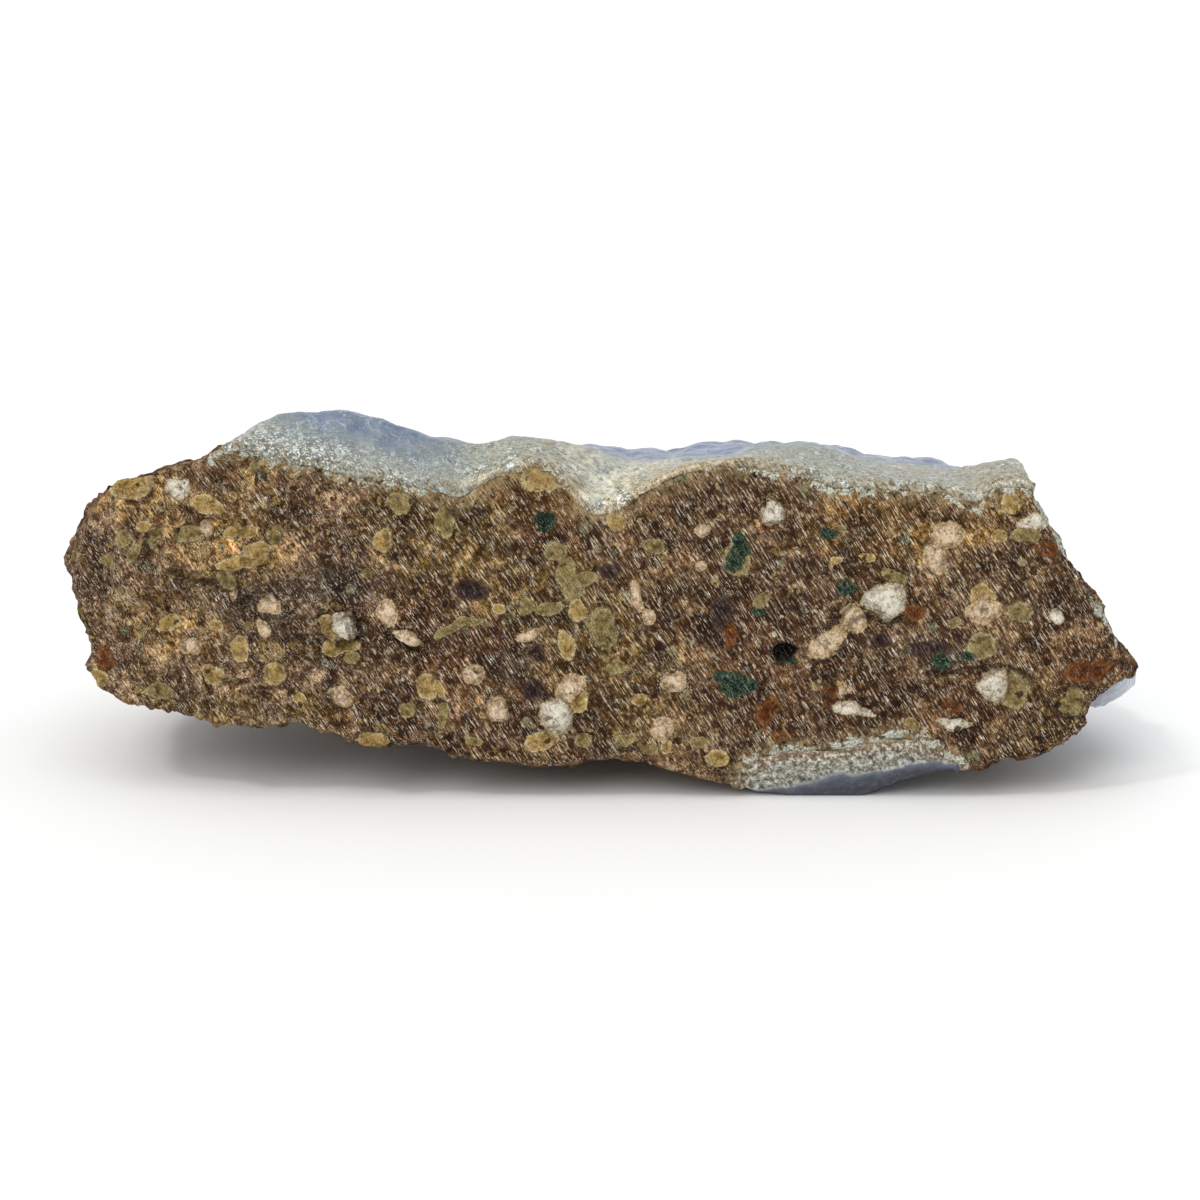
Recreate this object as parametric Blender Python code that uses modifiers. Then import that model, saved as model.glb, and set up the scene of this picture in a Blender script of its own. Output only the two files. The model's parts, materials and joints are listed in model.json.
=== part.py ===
"""Blue lace agate geode: a broken piece of geode wall in its volcanic host rock.

The stone rests on a small flat spot. Its broken rock face is at the front (-Y), and the agate
lined hollow opens upwards and to the back, with a high near rim and a low far rim.
Lengths are in millimetres up to the last step, which scales them to metres.
"""
import math

import bmesh
import bpy
from mathutils import Matrix, Vector, noise

MM = 0.001

# Gap between the agate and the rock it grew on, measured straight up
CONTACT_GAP = 0.45
# Gap round the lower seam
SEAM_GAP = 0.35

# Places along Y that the outlines below belong to
FRONT_Y = -33.5
CREST_Y = -25.0
MOUND_Y = -12.0
FAR_RIM_Y = 28.0

# Size of the voxels and number of the faces that the broken surfaces are made of
ROCK_VOXEL = 1.5
ROCK_TRIANGLES = 4300
AGATE_TRIANGLES = 2150
# Steps along X and Y of the grids that the contact and the lining are drawn on
CONTACT_STEP = (2.5, 5.0)
LINING_STEP = (2.5, 2.5)
# Room round the stone that those grids and the cutters cover, and how far down they reach
GRID_X = (-82.0, 84.0)
GRID_Y = (-40.0, 40.0)
GRID_FLOOR = -30.0
CUTTER_TOP = 66.0
CUTTER_REACH = 45.0
CUTTER_ENDS = 90.0
BELOW_GROUND = -6.0
GROUND_PLAN = [(-100.0, -60.0), (100.0, -60.0), (100.0, 60.0), (-100.0, 60.0)]

# Outline of the rock seen from the front, as X and Z. Its top is cut by the contact surface.
ROCK_FRONT = [
    (-70.4, 12.9), (-72.2, 16.5), (-71.9, 20.9), (-73.4, 25.2), (-75.9, 29.6), (-75.3, 32.0),
    (-73.7, 36.0), (-71.3, 38.4), (-70.4, 41.0), (-68.2, 43.0), (-67.0, CUTTER_TOP),
    (58.3, CUTTER_TOP), (58.7, 46.5), (59.8, 42.5), (63.6, 36.0), (69.0, 27.4), (74.2, 18.9), (76.3, 17.1),
    (74.0, 15.7), (71.2, 14.8), (68.4, 14.1), (68.0, 10.6), (65.8, 7.6), (62.8, 5.9), (57.6, 5.6),
    (53.6, 4.4), (50.2, 4.4), (43.0, 2.4), (36.0, -0.8), (27.0, -0.8), (19.6, 1.4), (14.0, 2.0), (8.4, 4.0),
    (2.8, 5.4), (-8.4, 4.4), (-13.9, 5.7), (-19.5, 5.8), (-25.1, 7.7), (-33.4, 7.0),
    (-41.7, 9.7), (-50.1, 9.4), (-58.4, 10.7), (-66.0, 12.0),
]
# Outline of the rock seen from above, as X and Y
ROCK_PLAN = [
    (-76.5, -20.0), (-72.5, -25.5), (-64.0, -29.5), (-52.0, -32.6), (-20.0, -33.2), (20.0, -33.6),
    (58.0, -33.6), (67.0, -32.0), (74.0, -28.5), (77.0, -23.5), (75.5, -18.8), (66.5, -15.0),
    (62.5, -5.0), (61.0, 8.0), (56.0, 19.0), (47.0, 26.5), (30.0, 31.0), (10.0, 33.5),
    (-12.0, 31.0), (-32.0, 32.5), (-50.0, 27.5), (-62.0, 21.0), (-70.0, 9.0), (-76.0, -4.0),
]
# Outline of the rock seen from the end, as Y and Z: the back is broken off at a slant
ROCK_SIDE = [
    (-40.0, 8.0), (-34.6, 8.0), (-31.2, 0.0), (-31.2, -4.0), (17.0, -4.0), (24.0, 1.5), (31.0, 10.0),
    (34.5, 20.0), (35.5, CUTTER_TOP), (-40.0, CUTTER_TOP),
]
# Foot under the middle of the stone, as X and Y: its underside is the flat spot
FOOT_PLAN = [
    (-21.0, -5.5), (4.0, -12.0), (14.0, -22.0), (22.0, -28.0), (38.0, -29.0), (47.0, -16.0),
    (46.0, 12.0), (32.0, 21.0), (4.0, 23.0), (-17.0, 16.0),
]
FOOT_HEIGHT = 11.0
# Outline of the agate seen from above, as X and Y
LINING_PLAN = [
    (-52.0, -33.6), (-20.0, -33.2), (20.0, -33.5), (58.8, -33.4), (57.8, -22.5), (66.0, -17.0),
    (75.0, -17.6), (77.4, -13.0), (76.0, -3.0), (71.5, 8.0), (64.0, 18.5), (52.0, 27.0),
    (31.0, 31.6), (10.0, 33.2), (-12.0, 31.2), (-32.0, 32.0), (-46.0, 27.5), (-54.0, 19.0),
    (-52.5, 9.0), (-57.0, 0.0), (-52.5, -11.0), (-55.0, -22.0),
]

# Heights along X of the lines that shape the contact and the lining, as X and Z
CONTACT_LINE = [
    (-80.0, 42.0), (-67.8, 43.3), (-62.1, 45.4), (-56.1, 47.5), (-51.5, 49.7), (-48.7, 50.6),
    (-43.8, 48.4), (-39.6, 47.9), (-34.5, 46.1), (-22.0, 44.3), (-19.5, 42.8), (-15.8, 45.2),
    (-9.6, 47.8), (-5.0, 46.2), (-3.4, 42.6), (-0.7, 40.4), (1.9, 41.2), (7.3, 44.7),
    (11.7, 47.2), (18.5, 48.0), (25.3, 47.2), (30.1, 45.0), (46.7, 44.4), (51.1, 42.4),
    (54.0, 44.8), (58.8, 44.6), (80.0, 46.0),
]
CREST_LINE = [
    (-54.0, 45.0), (-49.5, 50.4), (-45.5, 53.0), (-41.3, 53.9), (-38.6, 53.5), (-35.8, 54.1),
    (-30.3, 52.7), (-24.8, 50.4), (-16.6, 48.9), (-11.0, 50.3), (-2.1, 48.6), (3.6, 46.0),
    (17.8, 46.8), (21.9, 48.8), (30.5, 48.8), (36.5, 46.2), (49.5, 45.0), (52.5, 46.2),
    (58.0, 47.3), (60.0, 47.0), (60.5, 40.0), (69.0, 23.0), (74.0, 16.2), (77.5, 14.0),
    (80.0, 13.6),
]
MOUND_LINE = [
    (-54.0, 42.0), (-36.0, 47.0), (-20.0, 45.0), (-8.0, 44.5), (-2.0, 46.4), (5.7, 46.0),
    (14.2, 46.4), (22.7, 46.6), (32.8, 46.1), (40.0, 44.8), (48.3, 44.1), (54.0, 40.0),
    (62.0, 29.0), (70.0, 17.5), (74.0, 14.8), (80.0, 12.8),
]
HOLLOW_FLOOR_LINE = [
    (-80.0, 33.0), (-52.0, 37.0), (-40.0, 24.0), (-24.0, 12.0), (0.0, 9.0), (25.0, 9.0),
    (50.0, 10.5), (62.0, 9.8), (66.0, 9.2), (68.5, 8.2), (70.4, 7.3), (74.3, 8.8), (76.6, 10.2),
    (80.0, 11.4),
]
FAR_RIM_LINE = [
    (-80.0, 27.0), (-52.0, 31.0), (-30.0, 25.0), (-8.0, 21.0), (18.0, 22.5), (40.0, 18.0),
    (60.0, 12.0), (80.0, 12.0),
]
# Y of the foot of the near wall: it swings towards the front at the right end
WALL_START_LINE = [
    (-80.0, -31.0), (-54.0, -30.0), (-46.0, -24.0), (0.0, -24.0), (12.0, -33.5), (26.0, -33.5),
    (34.0, -26.0), (50.0, -24.0), (62.0, -27.0), (80.0, -28.0),
]
WALL_END_LINE = [(-80.0, 8.0), (30.0, 8.0), (58.0, -6.0), (70.0, -17.0), (80.0, -19.0)]
# Y where the floor of the hollow starts to rise to the far rim
FLOOR_END_Y = 8.0
# Unevenness of the contact: height and size of its humps, and where in the noise it is read
CONTACT_HUMPS = 0.7
CONTACT_HUMP_SIZE = 9.0
CONTACT_HUMP_SLICE = 11.0
# Thickness of the agate, square to the contact. It is measured over short steps, and no slope
# stretches it more than the limit.
SLOPE_STEP = 1.5
SLOPE_LIMIT = 2.2
THICKNESS_LINE = [
    (-80.0, -2.0), (-56.0, -2.0), (-50.0, 2.5), (-42.0, 7.5), (0.0, 8.6), (30.0, 8.2),
    (62.0, 6.2), (68.0, 5.6), (70.4, 6.2), (76.0, 4.2), (80.0, 3.0),
]
# Rounded mammillary domes of the lining: spacing along X and Y, radius, height, how deep the
# creases between them may go, and the level of a dome that adds no thickness
DOME_SPACING = (12.5, 10.0)
DOME_RADIUS = 9.5
DOME_HEIGHT = 8.0
DOME_CREASE = 0.45
DOME_LEVEL = 0.75
# Where a dome's middle lies at least in its cell of the grid and how far it strays from there,
# as shares of the spacing, and the size of the smallest dome and the range above it, as shares
# of the radius and the height
DOME_INSET = 0.25
DOME_STRAY = 0.5
SMALLEST_DOME = 0.82
DOME_RANGE = 0.33
# The domes start a little in front of the mound's top, grow over this depth, and are full
# sized where the agate is at least this thick
DOME_LEAD = 2.0
DOME_GROWTH = 8.0
DOME_THICKNESS = 6.0
# Height of the agate's broken edge where it starts at the front face
FRONT_EDGE = 0.9
# How quickly that edge rises to the crest: below 1 it rises faster at first
EDGE_RISE = 0.8
# Depth over which the near rim turns into the wall of the hollow
WALL_TURN = 7.0
# The far rim rolls down by this much at this depth behind its crest
RIM_ROLL = 4.0
RIM_DROP = 1.6

# Lower seam, as X and Z seen from the front
SEAM_FRONT = [
    (18.6, -3.0), (19.4, 3.2), (21.6, 6.1), (25.8, 7.2), (32.7, 7.3), (37.3, 8.5), (41.8, 9.2),
    (45.3, 8.1), (50.0, 4.9), (54.0, -3.0),
]
# The same seam seen from below, as X and Y
SEAM_PLAN = [
    (14.0, -42.0), (57.0, -42.0), (53.0, -27.0), (46.0, -19.0), (37.0, -16.5), (27.0, -17.5),
    (20.0, -22.0),
]
# It reaches back at most to this Y, counted from the middle towards the front, and up to this Z
SEAM_BACK = 5.0
SEAM_TOP = 20.0
# Underside of the agate's block, before the contact cuts it
LINING_FLOOR = 2.0

# Clasts that stand out of the front face: X, Z, half width, half height, how far proud
CLASTS = [
    (-36.0, 25.0, 2.7, 2.0, 1.9),
    (-26.8, 23.3, 2.3, 0.9, 1.1),
    (-5.9, 12.4, 2.5, 2.9, 0.8),
    (0.5, 24.7, 2.0, 2.9, 0.7),
    (-14.2, 13.0, 1.6, 1.9, 0.8),
    (10.3, 16.7, 1.8, 1.6, 0.7),
    (23.7, 41.0, 1.8, 2.3, 0.9),
    (39.2, 28.5, 3.0, 2.8, 0.8),
    (54.6, 16.6, 2.5, 2.4, 0.7),
    (-31.4, 8.8, 2.3, 1.5, 0.8),
]
# How uneven a clast's skin is, as a share of its size, and the size of those bumps
CLAST_SWELL = 0.12
CLAST_BUMP_SIZE = 2.0
CLAST_BUMP_DETAIL = 3.0
# Pits that crystals have fallen out of: X, Z, radius
PITS = [
    (25.6, 20.6, 1.5),
    (-7.5, 39.8, 1.4),
]
PIT_DEPTH = 0.4

# Weathering of the broken surfaces: sizes of the broad and the fine bumps, how much the fine
# ones add, and where in the noise they are read
BROAD_BUMPS = 17.0
FINE_BUMPS = 6.0
FINE_SHARE = 0.45
FINE_SLICE = Vector((40.0, 0.0, 0.0))
# How strongly the rock is weathered at its flat front, at the left end and at the back
FRONT_WEAR = 0.3
LEFT_WEAR = 1.3
LEFT_WEAR_FROM = 38.0
LEFT_WEAR_OVER = 20.0
BACK_WEAR = 2.2
BACK_WEAR_FROM = -21.0
BACK_WEAR_OVER = 15.0
# The same for the agate, at its even front edge and at its splintery sides
EDGE_WEAR = 0.25
SIDE_WEAR = 0.7
SIDE_WEAR_FROM = -26.0
SIDE_WEAR_OVER = 14.0

# Edges shorter than this are merged after the cuts, and slivers thinner than this go
SHORT_EDGE = 0.12
THIN_SLIVER = 0.02

COLOURS = {
    "host_rock": (0.165, 0.112, 0.068),
    "agate_lining": (0.42, 0.50, 0.58),
    "lower_agate_seam": (0.50, 0.50, 0.44),
}
ROUGHNESS = {"host_rock": 0.85, "agate_lining": 0.22, "lower_agate_seam": 0.35}


def remove_startup_objects():
    """Take out whatever the new file came with."""
    for leftover in list(bpy.data.objects):
        bpy.data.objects.remove(leftover, do_unlink=True)


def collection(name):
    """A new collection under the scene."""
    group = bpy.data.collections.new(name)
    bpy.context.scene.collection.children.link(group)
    return group


def add_mesh(name, mesh, group):
    """An object that holds the mesh, in the collection given."""
    holder = bpy.data.objects.new(name, mesh)
    group.objects.link(holder)
    return holder


def ease(share):
    """0 to 1 with a soft start and end."""
    share = min(1.0, max(0.0, share))
    return share * share * (3.0 - 2.0 * share)


def height_along(line, x):
    """Height at x of a line given by points from left to right."""
    if x <= line[0][0]:
        return line[0][1]
    for (x_left, z_left), (x_right, z_right) in zip(line, line[1:]):
        if x <= x_right:
            return z_left + (z_right - z_left) * (x - x_left) / (x_right - x_left)
    return line[-1][1]


def roughness_noise(place, size):
    """Smooth noise from about -1 to 1, with detail down to a quarter of the size."""
    return noise.fractal(place / size, 1.0, 2.0, 3)


def contact_height(x, y):
    """Top of the host rock: the surface that the agate grew on."""
    near = height_along(CONTACT_LINE, x)
    floor = height_along(HOLLOW_FLOOR_LINE, x)
    far = height_along(FAR_RIM_LINE, x)
    wall_start = height_along(WALL_START_LINE, x)
    wall_end = height_along(WALL_END_LINE, x)
    near_share = 1.0 - ease((y - wall_start) / (wall_end - wall_start))
    far_share = ease((y - FLOOR_END_Y) / (FAR_RIM_Y - FLOOR_END_Y))
    height = floor + (near - floor) * near_share + (far - floor) * far_share
    place = Vector((x, y, CONTACT_HUMP_SLICE))
    return height + CONTACT_HUMPS * roughness_noise(place, CONTACT_HUMP_SIZE)


def contact_slope(x, y):
    """How much longer a step square to the contact is when it is taken straight up."""
    rise_x = contact_height(x + SLOPE_STEP, y) - contact_height(x - SLOPE_STEP, y)
    rise_y = contact_height(x, y + SLOPE_STEP) - contact_height(x, y - SLOPE_STEP)
    slope = math.hypot(rise_x, rise_y) / (2.0 * SLOPE_STEP)
    return min(SLOPE_LIMIT, math.hypot(1.0, slope))


def dome_height(x, y):
    """Rounded domes that meet in creases: the highest of the domes around this place."""
    row = math.floor(y / DOME_SPACING[1])
    highest = DOME_CREASE
    for deep in range(row - 1, row + 2):
        shift = 0.5 * (deep % 2)
        column = math.floor(x / DOME_SPACING[0] - shift)
        for across in range(column - 1, column + 2):
            chance = noise.cell_vector(Vector((across + 0.5, deep + 0.5, 0.5)))
            centre_x = (across + shift + DOME_INSET + DOME_STRAY * chance.x) * DOME_SPACING[0]
            centre_y = (deep + DOME_INSET + DOME_STRAY * chance.y) * DOME_SPACING[1]
            radius = DOME_RADIUS * (SMALLEST_DOME + DOME_RANGE * chance.z)
            apart = math.hypot(x - centre_x, y - centre_y) / radius
            if apart < 1.0:
                rise = SMALLEST_DOME + DOME_RANGE * chance.z
                highest = max(highest, math.sqrt(1.0 - apart * apart) * rise)
    return DOME_HEIGHT * (highest - DOME_LEVEL)


def lining_height(x, y):
    """Upper surface of the agate: broken edge at the near rim, domes in the hollow."""
    contact = height_along(CONTACT_LINE, x)
    crest = height_along(CREST_LINE, x)
    mound = height_along(MOUND_LINE, x)
    if y < CREST_Y:
        share = max(0.0, (y - FRONT_Y) / (CREST_Y - FRONT_Y))
        rim = contact + FRONT_EDGE + (crest - contact - FRONT_EDGE) * share ** EDGE_RISE
    else:
        rim = crest + (mound - crest) * ease((y - CREST_Y) / (MOUND_Y - CREST_Y))
    thickness = height_along(THICKNESS_LINE, x)
    inside = contact_height(x, y) + thickness * contact_slope(x, y)
    rolled = max(0.0, (y - FAR_RIM_Y) / RIM_ROLL)
    inside -= RIM_DROP * rolled * rolled
    turn = ease((y - MOUND_Y) / WALL_TURN)
    growth = ease((y - MOUND_Y + DOME_LEAD) / DOME_GROWTH) * ease(thickness / DOME_THICKNESS)
    return rim + (inside - rim) * turn + dome_height(x, y) * growth


def column_under(name, height_at, step, lift, group):
    """Solid under a surface: a grid moved to the surface's heights, with a skirt and a floor."""
    wide = GRID_X[1] - GRID_X[0]
    long = GRID_Y[1] - GRID_Y[0]
    shape = bmesh.new()
    bmesh.ops.create_grid(shape, x_segments=round(wide / step[0]), y_segments=round(long / step[1]),
                          size=0.5)
    for point in shape.verts:
        point.co.x = GRID_X[0] + (point.co.x + 0.5) * wide
        point.co.y = GRID_Y[0] + (point.co.y + 0.5) * long
        point.co.z = height_at(point.co.x, point.co.y) + lift
    bmesh.ops.triangulate(shape, faces=shape.faces[:], quad_method="FIXED")
    border = [edge for edge in shape.edges if edge.is_boundary]
    skirt = bmesh.ops.extrude_edge_only(shape, edges=border)["geom"]
    lower = [item for item in skirt if isinstance(item, bmesh.types.BMVert)]
    for point in lower:
        point.co.z = GRID_FLOOR
    bmesh.ops.contextual_create(shape, geom=[edge for edge in shape.edges if edge.is_boundary])
    bmesh.ops.recalc_face_normals(shape, faces=shape.faces[:])
    mesh = bpy.data.meshes.new(name)
    shape.to_mesh(mesh)
    shape.free()
    return as_cutter(add_mesh(name, mesh, group))


def as_cutter(tool):
    """Mark an object as a tool, which isn't part of the model."""
    tool.hide_render = True
    tool.display_type = "WIRE"
    return tool


def prism(name, outline, low, high, turn, group):
    """An outline as a filled curve, extruded from low to high and turned to its axis."""
    curve = bpy.data.curves.new(name, "CURVE")
    curve.dimensions = "2D"
    curve.fill_mode = "BOTH"
    curve.extrude = (high - low) / 2.0
    spline = curve.splines.new("POLY")
    spline.points.add(len(outline) - 1)
    for point, (across, up) in zip(spline.points, outline):
        point.co = (across, up, 0.0, 1.0)
    spline.use_cyclic_u = True
    holder = bpy.data.objects.new(name, curve)
    group.objects.link(holder)
    bpy.context.view_layer.update()
    graph = bpy.context.evaluated_depsgraph_get()
    mesh = bpy.data.meshes.new_from_object(holder.evaluated_get(graph))
    bpy.data.objects.remove(holder, do_unlink=True)
    mesh.transform(Matrix.Translation((0.0, 0.0, (low + high) / 2.0)))
    mesh.transform(turn)
    shape = bmesh.new()
    shape.from_mesh(mesh)
    bmesh.ops.remove_doubles(shape, verts=shape.verts[:], dist=0.001)
    bmesh.ops.recalc_face_normals(shape, faces=shape.faces[:])
    shape.to_mesh(mesh)
    shape.free()
    return as_cutter(add_mesh(name, mesh, group))


# Turns that lay an outline drawn in X and Y down as X-Z or as Y-Z
SEEN_FROM_ABOVE = Matrix.Identity(4)
SEEN_FROM_FRONT = Matrix(((1, 0, 0, 0), (0, 0, -1, 0), (0, 1, 0, 0), (0, 0, 0, 1)))
SEEN_FROM_END = Matrix(((0, 0, 1, 0), (1, 0, 0, 0), (0, 1, 0, 0), (0, 0, 0, 1)))


def combine(body, tool, operation):
    """Add an exact Boolean of the tool to the body."""
    cut = body.modifiers.new(tool.name, "BOOLEAN")
    cut.operation = operation
    cut.solver = "EXACT"
    cut.object = tool


def settle(body):
    """Turn what the modifiers make into the body's own mesh."""
    bpy.context.view_layer.update()
    graph = bpy.context.evaluated_depsgraph_get()
    finished = bpy.data.meshes.new_from_object(body.evaluated_get(graph))
    body.modifiers.clear()
    body.data = finished


def weather(body, strength_at):
    """Push each point along its normal by noise, so that flat cuts look broken."""
    shape = bmesh.new()
    shape.from_mesh(body.data)
    shape.normal_update()
    moves = []
    for point in shape.verts:
        strength = strength_at(point.co, point.normal)
        broad = roughness_noise(point.co, BROAD_BUMPS)
        fine = roughness_noise(point.co + FINE_SLICE, FINE_BUMPS)
        moves.append(point.normal * strength * (broad + FINE_SHARE * fine))
    for point, move in zip(shape.verts, moves):
        point.co += move
    shape.to_mesh(body.data)
    shape.free()


def rock_strength(place, normal):
    """The sawn looking front face is nearly flat, and the back and ends are rough."""
    left = LEFT_WEAR * ease((-place.x - LEFT_WEAR_FROM) / LEFT_WEAR_OVER) * abs(normal.y)
    return FRONT_WEAR + left + BACK_WEAR * ease((place.y - BACK_WEAR_FROM) / BACK_WEAR_OVER)


def lining_strength(place, _normal):
    """The broken sides of the agate are splintery, and its front edge is even."""
    return EDGE_WEAR + SIDE_WEAR * ease((place.y - SIDE_WEAR_FROM) / SIDE_WEAR_OVER)


def thin_out(body, triangles):
    """Bring the number of triangles down and settle the result."""
    count = sum(len(face.vertices) - 2 for face in body.data.polygons)
    fewer = body.modifiers.new("fewer", "DECIMATE")
    fewer.ratio = min(1.0, triangles / count)
    settle(body)


def rough_block(name, tools, joined, strength_at, triangles, group):
    """Where all the tools meet, with the joined ones added, remeshed and weathered."""
    body = tools[0].copy()
    body.data = tools[0].data.copy()
    body.name = name
    group.objects.link(body)
    for tool in tools[1:]:
        combine(body, tool, "INTERSECT")
    for extra in joined:
        combine(body, extra, "UNION")
    even = body.modifiers.new("even faces", "REMESH")
    even.mode = "VOXEL"
    even.voxel_size = ROCK_VOXEL
    settle(body)
    weather(body, strength_at)
    thin_out(body, triangles)
    return as_cutter(body)


def clast(place_x, place_z, half_width, half_height, proud, group):
    """A rounded stone that stands out of the front face."""
    shape = bmesh.new()
    bmesh.ops.create_icosphere(shape, subdivisions=2, radius=1.0)
    centre = Vector((place_x, FRONT_Y - proud + half_width, place_z))
    for point in shape.verts:
        size = Vector((half_width, half_width, half_height))
        bumps = roughness_noise(point.co * CLAST_BUMP_DETAIL + centre, CLAST_BUMP_SIZE)
        swell = 1.0 + CLAST_SWELL * bumps
        point.co = centre + point.co * size * swell
    mesh = bpy.data.meshes.new("clast")
    shape.to_mesh(mesh)
    shape.free()
    return as_cutter(add_mesh("clast", mesh, group))


def pit(place_x, place_z, radius, group):
    """A small round hollow in the front face."""
    shape = bmesh.new()
    bmesh.ops.create_icosphere(shape, subdivisions=2, radius=radius)
    bmesh.ops.translate(shape, verts=shape.verts[:], vec=(place_x, FRONT_Y + PIT_DEPTH, place_z))
    mesh = bpy.data.meshes.new("pit")
    shape.to_mesh(mesh)
    shape.free()
    return as_cutter(add_mesh("pit", mesh, group))


def shrunk(form, gap, group):
    """A copy of the form whose faces all lie the gap further in."""
    shape = bmesh.new()
    shape.from_mesh(form.data)
    shape.normal_update()
    for point in shape.verts:
        point.co -= point.normal * gap * point.calc_shell_factor()
    mesh = bpy.data.meshes.new("smaller " + form.name)
    shape.to_mesh(mesh)
    shape.free()
    return as_cutter(add_mesh("smaller " + form.name, mesh, group))


def finish_material(name):
    """Principled material in the piece's own colour."""
    material = bpy.data.materials.new(name)
    material.use_nodes = True
    shader = material.node_tree.nodes["Principled BSDF"]
    shader.inputs["Base Color"].default_value = (*COLOURS[name], 1.0)
    shader.inputs["Roughness"].default_value = ROUGHNESS[name]
    shader.inputs["Metallic"].default_value = 0.0
    return material


def new_piece(name, source, group):
    """A named piece of the model that starts as a copy of a rough block."""
    piece = source.copy()
    piece.data = source.data.copy()
    piece.name = name
    piece.data.name = name
    piece.hide_render = False
    piece.display_type = "TEXTURED"
    piece.data.materials.clear()
    piece.data.materials.append(finish_material(name))
    group.objects.link(piece)
    return piece


def clean(piece):
    """Merge the tiny edges that the cuts leave, and flatten what is nearly flat."""
    shape = bmesh.new()
    shape.from_mesh(piece.data)
    bmesh.ops.remove_doubles(shape, verts=shape.verts[:], dist=SHORT_EDGE)
    bmesh.ops.dissolve_degenerate(shape, dist=THIN_SLIVER, edges=shape.edges[:])
    bmesh.ops.triangulate(shape, faces=shape.faces[:])
    bmesh.ops.recalc_face_normals(shape, faces=shape.faces[:])
    shape.to_mesh(piece.data)
    shape.free()


def centre_and_scale(pieces):
    """Put the origin under the middle of the stone's box, and turn millimetres to metres."""
    corners = [point.co for piece in pieces for point in piece.data.vertices]
    middle_x = (min(c.x for c in corners) + max(c.x for c in corners)) / 2.0
    middle_y = (min(c.y for c in corners) + max(c.y for c in corners)) / 2.0
    lowest = min(c.z for c in corners)
    shift = Matrix.Translation((-middle_x, -middle_y, -lowest))
    for piece in pieces:
        piece.data.transform(Matrix.Scale(MM, 4) @ shift)


def build():
    """Make the three pieces of the geode."""
    remove_startup_objects()
    model = collection("blue_lace_agate_geode")
    tools = collection("tools")

    front = prism("rock front", ROCK_FRONT, -CUTTER_REACH, CUTTER_REACH, SEEN_FROM_FRONT, tools)
    plan = prism("rock plan", ROCK_PLAN, BELOW_GROUND, CUTTER_TOP, SEEN_FROM_ABOVE, tools)
    side = prism("rock side", ROCK_SIDE, -CUTTER_ENDS, CUTTER_ENDS, SEEN_FROM_END, tools)
    foot = prism("foot", FOOT_PLAN, BELOW_GROUND / 2.0, FOOT_HEIGHT, SEEN_FROM_ABOVE, tools)
    ground = prism("ground", GROUND_PLAN, GRID_FLOOR, 0.0, SEEN_FROM_ABOVE, tools)
    rock = rough_block("rough rock", [front, plan, side], [foot], rock_strength,
                       ROCK_TRIANGLES, tools)

    lining_plan = prism("lining plan", LINING_PLAN, LINING_FLOOR, CUTTER_TOP, SEEN_FROM_ABOVE, tools)
    agate = rough_block("rough agate", [lining_plan], [], lining_strength,
                        AGATE_TRIANGLES, tools)

    under_contact = column_under("under contact", contact_height, CONTACT_STEP, 0.0, tools)
    under_gap = column_under("under gap", contact_height, CONTACT_STEP, CONTACT_GAP, tools)
    under_lining = column_under("under lining", lining_height, LINING_STEP, 0.0, tools)

    seam_hole = prism("seam hole", SEAM_FRONT, SEAM_BACK, CUTTER_REACH, SEEN_FROM_FRONT, tools)
    seam_plan = prism("seam plan", SEAM_PLAN, BELOW_GROUND, SEAM_TOP, SEEN_FROM_ABOVE, tools)
    combine(seam_hole, seam_plan, "INTERSECT")
    settle(seam_hole)

    host_rock = new_piece("host_rock", rock, model)
    combine(host_rock, under_contact, "INTERSECT")
    for values in CLASTS:
        combine(host_rock, clast(*values, tools), "UNION")
    for values in PITS:
        combine(host_rock, pit(*values, tools), "DIFFERENCE")
    combine(host_rock, seam_hole, "DIFFERENCE")
    combine(host_rock, ground, "DIFFERENCE")

    agate_lining = new_piece("agate_lining", agate, model)
    combine(agate_lining, under_lining, "INTERSECT")
    combine(agate_lining, under_gap, "DIFFERENCE")

    seam_body = shrunk(seam_hole, SEAM_GAP, tools)
    lower_agate_seam = new_piece("lower_agate_seam", rock, model)
    combine(lower_agate_seam, seam_body, "INTERSECT")
    combine(lower_agate_seam, ground, "DIFFERENCE")

    pieces = [host_rock, agate_lining, lower_agate_seam]
    for piece in pieces:
        settle(piece)
        clean(piece)
    centre_and_scale(pieces)


build()
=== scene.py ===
"""Blue lace agate geode: a broken piece of geode wall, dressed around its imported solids."""

import json
import math

import bpy
import numpy as np
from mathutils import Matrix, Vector, noise
from mathutils.bvhtree import BVHTree

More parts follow.
